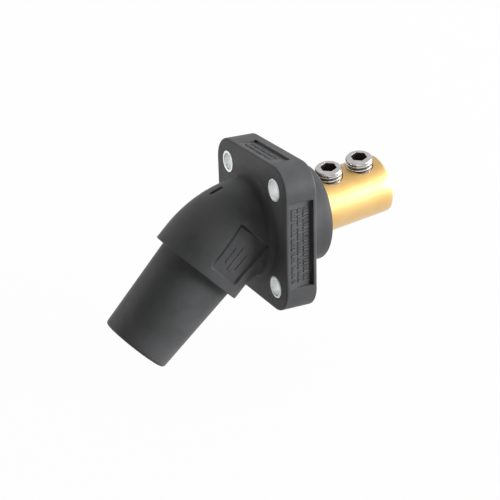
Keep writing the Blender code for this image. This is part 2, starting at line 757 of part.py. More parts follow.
def make_set_screws(parts, cutters, frames, steel):
    """Two set screws with a rounded crown, a hexagon socket and a cupped point."""
    top = BARREL_RADIUS + SCREW_STAND
    foot = top - SCREW_LENGTH
    profile = [(0.0, top)]
    profile += round_edge(SCREW_RADIUS - SCREW_CROWN_EDGE, top, SCREW_CROWN_HEIGHT / 2.0)
    profile += [
        (SCREW_RADIUS, top - SCREW_CROWN_HEIGHT),
        (SCREW_RADIUS, foot + SCREW_POINT_HEIGHT),
        (SCREW_RADIUS - SCREW_POINT_EDGE, foot),
        (0.0, foot + SCREW_POINT_HEIGHT),
    ]
    for number in range(1, SCREW_COUNT + 1):
        frame = frames[f"screw_{number}"]
        screw = turned(f"set_screw_{number}", profile, parts, steel, frame, FINE_TURN_STEPS)
        socket = hexagon_cutter(
            f"set_screw_socket_{number}", SCREW_HEX, SCREW_HEX_DEPTH, top, cutters, frame
        )
        combine(screw, socket, "DIFFERENCE")


def main():
    clear_scene()
    parts = new_collection("angled_panel_receptacle")
    cutters = new_collection("cutters")
    corner = (0.0, CORNER_Y, 0.0)
    frames = {
        "panel": new_frame("panel_frame", parts, (0.0, 0.0, 0.0), axis_turn(Vector((0.0, 1.0, 0.0)))),
        "nose": new_frame("nose_frame", parts, corner, axis_turn(NOSE_AXIS)),
        "barrel": new_frame("barrel_frame", parts, (0.0, 0.0, 0.0), axis_turn(BARREL_AXIS)),
    }
    for number, along in enumerate(screw_positions(), 1):
        frames[f"screw_{number}"] = new_frame(
            f"set_screw_frame_{number}", parts, (0.0, 0.0, along), screw_turn(), frames["barrel"]
        )
    rubber = new_material("moulded_rubber", (0.045, 0.045, 0.047), 0.62, 0.0)
    brass = new_material("turned_brass", (0.80, 0.58, 0.25), 0.28, 1.0)
    steel = new_material("bright_steel", (0.62, 0.62, 0.60), 0.22, 1.0)
    nickel = new_material("plated_bush", (0.86, 0.87, 0.86), 0.30, 1.0)
    make_housing(parts, cutters, frames, rubber)
    make_bushes(parts, frames, nickel)
    make_nose_sleeve(parts, frames, rubber)
    make_contact(parts, cutters, frames, brass, steel)
    make_barrel(parts, cutters, frames, brass)
    make_set_screws(parts, cutters, frames, steel)
    bpy.context.view_layer.update()
    for item in parts.objects:
        if item.type == "MESH":
            shade_smooth(item)


main()
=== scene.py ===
"""Looks of the angled panel receptacle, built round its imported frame.

Metres, +Z up. The origin is the centre of the flange's rear face. The nose points to -Y and down, and the
cable barrel points to +Y and a little up. Every section of the moulding, of the sleeve and of the turned
metal is a ring of columns about an axis in the plane x = 0, so column angles are counted from +X.
"""

import json
import math

import bmesh
import bpy
import numpy as np
from mathutils import Matrix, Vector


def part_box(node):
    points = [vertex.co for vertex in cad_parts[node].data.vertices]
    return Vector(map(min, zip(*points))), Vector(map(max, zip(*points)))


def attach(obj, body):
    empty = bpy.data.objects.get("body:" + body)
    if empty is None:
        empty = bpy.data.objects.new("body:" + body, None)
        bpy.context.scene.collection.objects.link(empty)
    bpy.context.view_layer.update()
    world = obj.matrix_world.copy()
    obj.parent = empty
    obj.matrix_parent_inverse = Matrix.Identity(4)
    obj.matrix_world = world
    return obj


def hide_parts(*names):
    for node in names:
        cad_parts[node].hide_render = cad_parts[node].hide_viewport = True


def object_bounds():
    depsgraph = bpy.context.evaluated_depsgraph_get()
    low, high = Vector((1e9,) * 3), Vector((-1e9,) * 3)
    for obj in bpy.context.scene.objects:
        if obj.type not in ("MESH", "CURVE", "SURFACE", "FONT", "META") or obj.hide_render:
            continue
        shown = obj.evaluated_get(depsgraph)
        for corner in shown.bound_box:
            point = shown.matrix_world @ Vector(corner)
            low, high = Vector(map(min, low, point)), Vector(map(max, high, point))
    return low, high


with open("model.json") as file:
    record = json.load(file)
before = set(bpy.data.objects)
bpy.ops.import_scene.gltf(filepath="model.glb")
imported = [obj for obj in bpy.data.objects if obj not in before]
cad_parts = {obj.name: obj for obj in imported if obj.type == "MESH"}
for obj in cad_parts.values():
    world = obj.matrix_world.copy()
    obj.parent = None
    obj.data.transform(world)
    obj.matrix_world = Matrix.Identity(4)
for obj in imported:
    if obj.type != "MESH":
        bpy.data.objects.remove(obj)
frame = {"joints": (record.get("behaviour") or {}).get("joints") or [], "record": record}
cad_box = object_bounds()

MM = 0.001
FULL_TURN = 2.0 * math.pi
ACROSS = np.array((1.0, 0.0, 0.0))
SKY = np.array((0.0, 0.0, 1.0))
BODY = "receptacle"

# Camera of the photograph, fitted to its outlines, with lengths in metres and angles in degrees
PHOTO_PIXELS = 500
FOCAL_PIXELS = 1291.2
SENSOR_WIDTH_MM = 36.0
CAMERA_DISTANCE = 0.55447
CAMERA_AZIMUTH = 64.05
CAMERA_ELEVATION = 22.55
CAMERA_ROLL = -1.635
CAMERA_RIGHT = -0.01322928
CAMERA_RISE = -0.01418497

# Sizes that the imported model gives
mounts = {mount["name"]: mount for mount in frame["record"]["mounts"]}
housing_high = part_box("housing")[1]
bush_boxes = [[np.array(corner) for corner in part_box(f"mounting_bush_{number}")] for number in (1, 2, 3, 4)]
FLANGE_HALF = housing_high[0]
FLANGE_THICKNESS = -bush_boxes[0][0][1]
BUSH_RADIUS = (bush_boxes[0][1][0] - bush_boxes[0][0][0]) / 2.0
BOSS_LENGTH = housing_high[1]
HOLE_CENTRES = [(low + high) / 2.0 for low, high in bush_boxes]

# Flange, boss and elbow
FLANGE_CORNER_RADIUS = 11.0 * MM
FLANGE_EDGE_RADIUS = 0.7 * MM
BOSS_RADIUS = 21.0 * MM
BOSS_EDGE_RADIUS = 0.6 * MM
ELBOW_RADIUS = 20.9 * MM
ELBOW_BEND_RADIUS = 36.6 * MM
ELBOW_FOOT_RADIUS = 3.0 * MM
COLLAR_REACH = 21.4 * MM
COLLAR_EDGE_RADIUS = 0.4 * MM
SEAT_REACH = 6.0 * MM
SOFT_CORNER = 0.3 * MM
MOULD_GAP = 0.1 * MM
WALL_SOFTNESS = 0.35 * MM
CUT_MARGIN = 2.0 * MM

# Recesses of the flange and the elbow
RECESS_FRONT = 1.4 * MM - FLANGE_THICKNESS
SIDE_RECESS = {"low": -19.0 * MM, "high": 18.2 * MM, "rear_land": 1.7 * MM, "depth": 1.9 * MM}
TOP_RECESS = {"low": -13.6 * MM, "high": 17.4 * MM, "rear_land": 4.3 * MM, "depth": 1.1 * MM}
ELBOW_RECESS_WIDTH = 15.6 * MM
ELBOW_RECESS_OFFSET = 0.6 * MM
ELBOW_RECESS_START = -4.7 * MM
ELBOW_RECESS_END = 17.0 * MM
ELBOW_RECESS_DEPTH = 1.2 * MM
ELBOW_RECESS_CORNER = 1.3 * MM
NOTCH_LENGTH = 6.0 * MM
NOTCH_REACH = 15.4 * MM
NOTCH_DEPTH = 0.9 * MM
NOTCH_WALL_X = -1.2 * MM
NOTCH_RISE = 0.26

# Painted shade at the foot of the pad's walls and of the elbow, as (edge, softness) or (low, high, softness)
SIDE_SHADE = (0.2 * MM, 1.45 * MM, 0.45 * MM)
END_SHADE = (0.2 * MM, 1.0 * MM, 0.6 * MM)
END_SHADE_MIDDLE = (1.0 * MM, 8.0 * MM)
PAD_SHADE_FADE = (ELBOW_RECESS_END - 2.5 * MM, 4.0 * MM)
FOOT_SHADE = 0.4
FOOT_SHADE_START = 0.1 * MM
FOOT_SHADE_FRONT = (3.2 * MM, 3.0 * MM)
FOOT_SHADE_ROUND = (25.0 * MM, 3.0 * MM)

# Plain bars on the recesses' floors, with what has no MM in millimetres. A recess's lines are pairs of
# (middle, width), then come their low and high ends and a seed. The elbow's bars are (low, high, low, high).
SIDE_LINES = ((-10.8, 1.9), (-7.9, 1.6), (-4.6, 2.5)), -16.6 * MM, 15.8 * MM, 3
TOP_LINES = ((-10.4, 1.4), (-7.4, 1.6)), -10.5 * MM, 13.5 * MM, 11
ELBOW_BARS = ((4.6, 11.8, -4.1, -3.1), (2.6, 13.6, -1.6, 0.4), (4.6, 11.8, 1.9, 2.9))
MARK_HEIGHTS = {"side": 0.45 * MM, "top": 0.36 * MM, "elbow": 0.3 * MM}
SHORTEST_BAR, BAR_SPREAD = 0.32, 0.8
BAR_GAP, GROUP_GAP = 0.38, 0.95
GROUP_SIZE = 5
LINE_STEP = 7
BAR_SLOPE = 0.08 * MM
BAR_ROOT = -0.15 * MM

# Nose sleeve, contact and what fastens it, along the nose from the corner of the two axes
FIT_GAP = 0.3 * MM
NOSE_ROOT_RADIUS = 17.35 * MM
NOSE_MOUTH_RADIUS = 15.3 * MM
MOUTH_EDGE_RADIUS = 1.3 * MM
MOUTH_BORE_RADIUS = 9.3 * MM
MOUTH_BORE_EDGE = 0.9 * MM
MOUTH_LIP = 5.0 * MM
CONTACT_RADIUS = 11.0 * MM
CONTACT_BORE_RADIUS = 8.0 * MM
CONTACT_FLOOR = 9.7 * MM
CONTACT_LEAD_IN = 1.0 * MM
CONTACT_FLOOR_ROUND = 0.8 * MM
SHOULDER_RADIUS = 13.2 * MM
SHOULDER_LENGTH = 7.9 * MM
CAM_PIN_RADIUS = 1.6 * MM
CAM_PIN_SETBACK = 6.0 * MM
CAM_PIN_STAND = 3.0 * MM
CAM_PIN_GAP = 0.02 * MM
FINE_EDGE = 0.2 * MM
SMALL_EDGE = 0.4 * MM
BOLT_RADIUS = 4.0 * MM
BOLT_HEAD_RADIUS = 6.5 * MM
BOLT_HEAD_HEIGHT = 8.0 * MM
BOLT_HEX = 6.0 * MM
BOLT_HEX_DEPTH = 4.0 * MM
BOLT_GRIP = 11.0 * MM
BOLT_TIP_EDGE = 0.6 * MM
BOLT_HEAD_EDGE = 0.7 * MM
WASHER_THICKNESS = 2.0 * MM
WASHER_EDGE = 0.25 * MM
WASHER_SPLIT = 0.1
BUSH_EDGE = 0.15 * MM
BUSH_BORE_RADIUS = 3.65 * MM

# Cable barrel and its set screws, with a screw's cup as (rise, radius)
BARREL_RADIUS = 13.05 * MM
CABLE_BORE_RADIUS = 8.3 * MM
CABLE_BORE_DEPTH = 39.0 * MM
CABLE_BORE_POINT = 2.8 * MM
CABLE_BORE_CHAMFER = 0.8 * MM
BARREL_EDGE_RADIUS = 0.7 * MM
TAPPED_HOLE_GAP = 0.05 * MM
TAPPED_HOLE_END = 0.5 * MM
SCREW_ALONG = (24.25 * MM, 39.55 * MM)
SCREW_HOLE_RADIUS = 6.15 * MM
SCREW_RADIUS = 5.9 * MM
SCREW_THREAD_DEPTH = 0.82 * MM
SCREW_PITCH = 1.75 * MM
GROOVE_EDGE = (0.42, 0.5)
THREAD_TOP_FADE = 0.35 * MM
THREAD_END_FADE = 0.5 * MM
SCREW_STAND = 3.9 * MM
SCREW_LENGTH = 12.0 * MM
SCREW_HEX = 6.35 * MM
SCREW_HEX_DEPTH = 4.5 * MM
HEX_TURN = math.radians(19.0)
SCREW_CROWN = 1.4 * MM
SCREW_POINT_HEIGHT = 1.8 * MM
SCREW_CUP = ((1.3 * MM, 0.0), (1.2 * MM, 0.5 * MM), (0.0, 2.8 * MM), (0.0, 3.4 * MM))
SOCKET_BEVEL = 0.12 * MM
SOCKET_POINT = 0.6 * MM
SOCKET_DRILL_SHARE = 0.3
# Painted shade down a key socket, a share for each of its rings from the mouth in
SOCKET_PAINTED_SHADE = [0.0, 0.6, 1.0, 1.0, 1.0, 1.0]

# Light, as shares of the white that the view shows, and the floor's size and gap in metres
FLOOR_GLOW = 0.975
DIFFUSE_FILL = 0.05
GLOSSY_FILL = 0.7
FLOOR_HALF = 6.0
FLOOR_DROP = 0.0005

# Lamps, each with its place, width, height and level, and whether gloss mirrors it
LAMPS = {
    "key": ((0.64, 1.02, 0.18), 1.1, 0.85, 2.75, True),
    "top": ((-0.45, 0.7, 0.95), 1.6, 1.6, 1.3, False),
    "front": ((-0.65, -0.95, 0.12), 0.8, 0.8, 0.4, True),
}

# Facets, where a crowding is a pull and a reach
SHARP_ANGLE = math.radians(38.0)
FILLET_STEPS = 5
TURNED_COLUMNS = 144
SMALL_COLUMNS = 96
HOLE_COLUMNS = 64
PIN_COLUMNS = 48
HOUSING_COLUMNS = 356
ELBOW_ROWS = 72
FLANGE_ROWS = 42
THREAD_ROWS = 110
WASHER_STEPS = 90
BORE_ROWS = (9.0 * MM, 27.0 * MM)
CROWDING_SAMPLES = 8000
COLUMN_CROWDING = (4.5, math.radians(1.1))
ROW_CROWDING = (5.0, 0.4 * MM)
WELD_DISTANCE = 1e-6


class Axis:
    """A line with a direction along it, one that rises square to it and one sideways of both.

    With no rise given, the line lies in the plane x = 0, its rise points up and sideways is +X.
    """

    def __init__(self, origin, along, rise=None):
        self.origin = np.array(origin, float)
        self.along = np.array(along, float) / np.linalg.norm(along)
        if rise is None:
            self.rise = np.cross(self.along, ACROSS)
            if self.rise[2] < 0.0:
                self.rise = -self.rise
            self.sideways = ACROSS
        else:
            self.rise = np.array(rise, float)
            self.sideways = np.cross(self.rise, self.along)

    def ring(self, reach, radius, angles):
        """Points at a reach along the axis and a radius from it, one for each angle from sideways."""
        reach = np.broadcast_to(reach, angles.shape)[:, None]
        radius = np.broadcast_to(radius, angles.shape)[:, None]
        outward = np.cos(angles)[:, None] * self.sideways + np.sin(angles)[:, None] * self.rise
        return self.origin + reach * self.along + radius * outward


def axis_through(mount_name):
    """The axis square to a mount's face, and the face's reach from where it crosses the panel's axis."""
    mount = mounts[mount_name]
    along = np.array(mount["axis"], float)
    face_centre = np.array(mount["pos_m"], float) * (0.0, 1.0, 1.0)
    reach = face_centre[2] / along[2]
    return Axis(face_centre - reach * along, along), reach


nose, NOSE_REACH = axis_through("nose_mouth_face")
barrel, BARREL_REAR = axis_through("barrel_end_face")
panel = Axis((0.0, 0.0, 0.0), (0.0, 1.0, 0.0))
CONTACT_REAR = SEAT_REACH + FIT_GAP
CONTACT_FRONT = NOSE_REACH - MOUTH_LIP
WASHER_REAR = CONTACT_REAR + CONTACT_FLOOR + FIT_GAP
NOSE_ANGLE = math.acos(-nose.along[1])
BEND_END = ELBOW_BEND_RADIUS * math.tan(NOSE_ANGLE / 2.0)
BEND_CENTRE = np.array((0.0, nose.origin[1] + BEND_END, -ELBOW_BEND_RADIUS))


# Meshes

def mesh_of(name, points, quads):
    """A mesh of quads, whose order is turned round where the volume that they enclose comes out negative."""
    first, second, third, fourth = (points[quads[:, corner]] for corner in range(4))
    enclosed = np.sum(first * (np.cross(second, third) + np.cross(third, fourth)))
    if enclosed < 0.0:
        quads = quads[:, ::-1]
    mesh = bpy.data.meshes.new(name)
    mesh.vertices.add(len(points))
    mesh.vertices.foreach_set("co", points.astype(np.float32).ravel())
    mesh.loops.add(quads.size)
    mesh.loops.foreach_set("vertex_index", quads.astype(np.int32).ravel())
    mesh.polygons.add(len(quads))
    mesh.polygons.foreach_set("loop_start", np.arange(0, quads.size, 4, dtype=np.int32))
    mesh.update(calc_edges=True)
    mesh.validate()
    return mesh


def weld(mesh):
    """Merge what lies together, which closes a turned shape's poles."""
    shape = bmesh.new()
    shape.from_mesh(mesh)
    bmesh.ops.remove_doubles(shape, verts=shape.verts, dist=WELD_DISTANCE)
    shape.to_mesh(mesh)
    shape.free()
    return mesh


def grid_mesh(name, rings, close_rows, painted_shade=None):
    """A closed mesh through a list of rings with equally many points each.

    Painted shade, if given, is a share from 0 to 1 for each ring or point, which the materials read.
    """
    rings = np.asarray(rings, float)
    rows, columns = rings.shape[:2]
    row = np.arange(rows if close_rows else rows - 1)[:, None]
    column = np.arange(columns)[None, :]
    next_row, next_column = (row + 1) % rows, (column + 1) % columns
    corners = (row * columns + column, row * columns + next_column,
               next_row * columns + next_column, next_row * columns + column)
    quads = np.stack(np.broadcast_arrays(*corners), axis=-1).reshape(-1, 4)
    mesh = mesh_of(name, rings.reshape(-1, 3), quads)
    if painted_shade is not None:
        shares = np.array([np.broadcast_to(share, columns) for share in painted_shade], np.float32)
        mesh.attributes.new("painted_shade", "FLOAT", "POINT").data.foreach_set("value", shares.ravel())
    return weld(mesh)


def new_object(name, data):
    item = bpy.data.objects.new(name, data)
    bpy.context.scene.collection.objects.link(item)
    return item


def carved(mesh, cutter_mesh):
    """The mesh with a second closed mesh cut out of it."""
    item = new_object("carving", mesh)
    cutter = new_object("cutter", cutter_mesh)
    cut = item.modifiers.new("cut", "BOOLEAN")
    cut.operation = "DIFFERENCE"
    cut.solver = "EXACT"
    cut.object = cutter
    bpy.context.view_layer.update()
    result = bpy.data.meshes.new_from_object(item.evaluated_get(bpy.context.evaluated_depsgraph_get()))
    for used in (item, cutter):
        bpy.data.objects.remove(used)
    return result


def joined(meshes):
    """Several meshes as one, with each still a body of its own."""
    shape = bmesh.new()
    for mesh in meshes:
        shape.from_mesh(mesh)
    result = bpy.data.meshes.new("joined")
    shape.to_mesh(result)
    shape.free()
    return result


def add_piece(name, mesh, slot, body=BODY, replaced=()):
    """Show a mesh in place of CAD nodes, in its slot's finish and smooth apart from its sharp edges."""
    mesh.shade_smooth()
    mesh.set_sharp_from_angle(angle=SHARP_ANGLE)
    mesh.materials.clear()
    mesh.materials.append(finishes[slot])
    item = new_object(name, mesh)
    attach(item, body)
    if replaced:
        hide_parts(*replaced)


# Profiles

def rounded(corners, closed):
    """Points of an outline of (radius, reach, fillet) corners, with each corner replaced by its arc.

    The arc touches both sides at fillet / tan(half the corner's angle) from the corner, which is kept
    under half of the shorter side, and its centre lies on the corner's bisector.
    """
    count = len(corners)
    points = []
    for index, (radius, reach, fillet) in enumerate(corners):
        here = np.array((radius, reach))
        if fillet == 0.0 or (not closed and index in (0, count - 1)):
            points.append(here)
            continue
        before = np.array(corners[index - 1][:2]) - here
        after = np.array(corners[(index + 1) % count][:2]) - here
        room = 0.48 * min(np.linalg.norm(before), np.linalg.norm(after))
        before = before / np.linalg.norm(before)
        after = after / np.linalg.norm(after)
        half = math.acos(before @ after) / 2.0
        touch = min(fillet / math.tan(half), room)
        arc_radius = touch * math.tan(half)
        bisector = (before + after) / np.linalg.norm(before + after)
        centre = here + bisector * arc_radius / math.sin(half)
        start = here + before * touch - centre
        sweep = math.pi - 2.0 * half
        turn_sign = math.copysign(1.0, start[0] * (after - before)[1] - start[1] * (after - before)[0])
        for step in range(FILLET_STEPS + 1):
            angle = turn_sign * sweep * step / FILLET_STEPS
            cosine, sine = math.cos(angle), math.sin(angle)
            turned = (cosine * start[0] - sine * start[1], sine * start[0] + cosine * start[1])
            points.append(centre + turned)
    return points


def column_angles(columns):
    """Even angles of a turned part's columns."""
    return FULL_TURN * np.arange(columns) / columns


def turned_mesh(name, axis, corners, columns=TURNED_COLUMNS, closed=True):
    """A profile of (radius, reach, fillet) corners turned about an axis."""
    angles = column_angles(columns)
    rings = [axis.ring(reach, radius, angles) for radius, reach in rounded(corners, closed)]
    return grid_mesh(name, rings, closed)


def smooth_step(value, edge, softness):
    """0 below an edge and 1 above it, rising as 3t^2 - 2t^3 over a softness."""
    share = np.clip((value - edge) / softness + 0.5, 0.0, 1.0)
    return share * share * (3.0 - 2.0 * share)


def between(value, low, high, softness=WALL_SOFTNESS):
    """1 between two edges and 0 outside, with soft walls."""
    return smooth_step(value, low, softness) * (1.0 - smooth_step(value, high, softness))


def crowded(low, high, count, places, pull, reach):
    """Values from low to high that crowd round some places.

    Their density is 1 + pull * exp(-(distance / reach)^2) summed over the places, and the values are
    where its running total passes equal steps.
    """
    fine = np.linspace(low, high, CROWDING_SAMPLES)
    density = np.ones_like(fine)
    for place in places:
        density += pull * np.exp(-((fine - place) / reach) ** 2)
    total = np.concatenate(([0.0], np.cumsum((density[1:] + density[:-1]) / 2.0)))
    return np.interp(np.linspace(0.0, total[-1], count), total, fine)


# Housing

def housing_angles():
    """Angles of the housing's columns, crowded where the recesses have their end walls."""
    half = FLANGE_HALF
    walls = [math.atan2(SIDE_RECESS["low"], half), math.atan2(SIDE_RECESS["high"], half)]
    walls += [math.atan2(half, TOP_RECESS["low"]), math.atan2(half, TOP_RECESS["high"])]
    for edge in (-1.0, 1.0):
        walls.append(math.asin((edge * ELBOW_RECESS_WIDTH / 2.0 - ELBOW_RECESS_OFFSET) / ELBOW_RADIUS))
    walls.append(math.pi / 2.0 + math.asin(-NOTCH_WALL_X / ELBOW_RADIUS))
    start = -math.pi * 0.75
    return crowded(start, start + FULL_TURN, HOUSING_COLUMNS + 1, walls, *COLUMN_CROWDING)[:-1]


def square_reach(angles, half, corner):
    """Distance from the centre to the edge of a square with round corners.

    On the flat it is half / max(|cos|, |sin|). In a corner it is the far root of the circle of the
    corner's radius about (half - corner, half - corner).
    """
    x, z = np.abs(np.cos(angles)), np.abs(np.sin(angles))
    far, near = np.maximum(x, z), np.minimum(x, z)
    flat = half / far
    offset = half - corner
    along = offset * (far + near)
    root = along + np.sqrt(np.maximum(along ** 2 - (2.0 * offset ** 2 - corner ** 2), 0.0))
    return np.where(flat * near <= offset, flat, root)


def elbow_ring(turn, radius, angles):
    """A ring of the elbow, where turn is the bend's angle at each column.

    The centre line is a circle of ELBOW_BEND_RADIUS about BEND_CENTRE, so a column at height
    radius * sin(angle) over that line turns on a circle that is wider by as much.
    """
    height = (ELBOW_BEND_RADIUS + radius * np.sin(angles))[:, None]
    side = (radius * np.cos(angles))[:, None] * ACROSS
    return BEND_CENTRE + height * bend_outward(turn) + side


def bend_outward(turn):
    """The way out from the bend's centre at each of its angles."""
    return np.stack((np.zeros_like(turn), -np.sin(turn), np.cos(turn)), axis=-1)


def turn_at(distance, radius, angles):
    """The bend's angle where a column is at a distance in front of the flange."""
    drop = BEND_CENTRE[1] + FLANGE_THICKNESS + distance
    return np.arcsin(drop / (ELBOW_BEND_RADIUS + radius * np.sin(angles)))


def pad_places(points):
    """How points lie to the elbow's pad, seen along X.

    The four values are the reach along the nose, the height over the pad's middle line, and the depths
    inside its side edges and inside its end edges.
    """
    offset = points - nose.origin
    along = offset @ nose.along
    lateral = offset @ nose.rise + ELBOW_RECESS_OFFSET
    inside_sides = ELBOW_RECESS_WIDTH / 2.0 - np.abs(lateral)
    inside_ends = np.minimum(along - ELBOW_RECESS_START, ELBOW_RECESS_END - along)
    return along, lateral, inside_sides, inside_ends


def pad_wall(points):
    """0 outside the pad, 1 on its floor and a smooth wall between, along a rectangle with round corners."""
    _, _, sides, ends = pad_places(points)
    corner_sides = np.clip(ELBOW_RECESS_CORNER - sides, 0.0, None)
    corner_ends = np.clip(ELBOW_RECESS_CORNER - ends, 0.0, None)
    inside = ELBOW_RECESS_CORNER - np.hypot(corner_sides, corner_ends)
    return smooth_step(inside, WALL_SOFTNESS / 2.0, WALL_SOFTNESS)


def pad_shade(points):
    """Painted shade at the foot of the pad's wall, under its upper side and its upper end."""
    along, lateral, sides, ends = pad_places(points)
    near_side = between(sides, *SIDE_SHADE) * (ends > END_SHADE[0]) * (lateral > 0.0)
    near_end = between(ends, *END_SHADE) * (sides > SIDE_SHADE[0]) * (along < 0.0)
    near_end = near_end * smooth_step(lateral, *END_SHADE_MIDDLE)
    on_elbow = (points[:, 0] > 0.0) & (points[:, 0] < ELBOW_RADIUS + SOFT_CORNER)
    return np.maximum(near_side, near_end) * (1.0 - smooth_step(along, *PAD_SHADE_FADE)) * on_elbow


def foot_shade(points):
    """Faint painted shade in the fillet at the elbow's foot."""
    ahead = -FLANGE_THICKNESS - points[:, 1]
    radius = np.hypot(points[:, 0], points[:, 2])
    near = smooth_step(ahead, 0.0, FOOT_SHADE_START) * (1.0 - smooth_step(ahead, *FOOT_SHADE_FRONT))
    return FOOT_SHADE * near * (1.0 - smooth_step(radius, *FOOT_SHADE_ROUND))


def sink_elbow_recess(ring, angles):
    """Sink a pad into the elbow's +X side, equally deep under the elbow's own round."""
    depth = ELBOW_RECESS_DEPTH * pad_wall(ring) * (ring[:, 0] > 0.0)
    along = (ring - nose.origin) @ nose.along
    turn = np.clip(NOSE_ANGLE + (along - BEND_END) / ELBOW_BEND_RADIUS, 0.0, NOSE_ANGLE)
    upward = (depth * np.sin(angles))[:, None] * bend_outward(turn)
    return ring - depth[:, None] * ACROSS * np.cos(angles)[:, None] - upward


def sink_top_notch(ring):
    """Lower what stands over the notch's floor, which starts at a steep wall and rises towards +X."""
    crest = ELBOW_BEND_RADIUS + ELBOW_RADIUS
    swing = math.asin((BEND_CENTRE[1] + FLANGE_THICKNESS + NOTCH_REACH) / crest)
    outward = np.array((0.0, -math.sin(swing), math.cos(swing)))
    forward = np.array((0.0, -math.cos(swing), -math.sin(swing)))
    offset = ring - BEND_CENTRE
    floor = crest - NOTCH_DEPTH + NOTCH_RISE * (ring[:, 0] - NOTCH_WALL_X)
    excess = np.clip(offset @ outward - floor, 0.0, None)
    gate = between(offset @ forward, -NOTCH_LENGTH / 2.0, NOTCH_LENGTH / 2.0)
    gate = gate * smooth_step(ring[:, 0], NOTCH_WALL_X, WALL_SOFTNESS)
    return ring - (excess * gate)[:, None] * outward


def flange_ring(y, inset, angles):
    """The flange's outline at a depth y, drawn in by an inset, with the wedge recesses sunk into it."""
    reach = square_reach(angles, FLANGE_HALF - inset, FLANGE_CORNER_RADIUS - inset)
    x, z = reach * np.cos(angles), reach * np.sin(angles)
    side = wedge_depth(SIDE_RECESS, y, z) * (np.cos(angles) > 0.0) * (np.abs(x) > np.abs(z))
    top = wedge_depth(TOP_RECESS, y, x) * (np.sin(angles) > 0.0) * (np.abs(z) > np.abs(x))
    return np.stack((x - side, np.full_like(x, y), z - top), axis=-1)


def wedge_depth(recess, y, lengthways):
    """Depth of a wedge recess: nothing at its front edge, growing evenly to its rear wall."""
    rear = -recess["rear_land"]
    depth = recess["depth"] * max(0.0, (y - RECESS_FRONT) / (rear - RECESS_FRONT))
    gate = 1.0 - smooth_step(y, rear, WALL_SOFTNESS)
    return depth * gate * between(lengthways, recess["low"], recess["high"])


def edge_arc(steps=FILLET_STEPS):
    """Shares of a quarter round: how far it is still inset and how far it has come along."""
    angles = np.linspace(0.0, math.pi / 2.0, steps + 1)
    return list(zip(1.0 - np.cos(angles), 1.0 - np.sin(angles)))


def spread(first, last, count):
    """Even steps from a ring, or from its reaches, to another: all but the first of a count of them."""
    return [first + (last - first) * share for share in np.linspace(0.0, 1.0, count)[1:]]


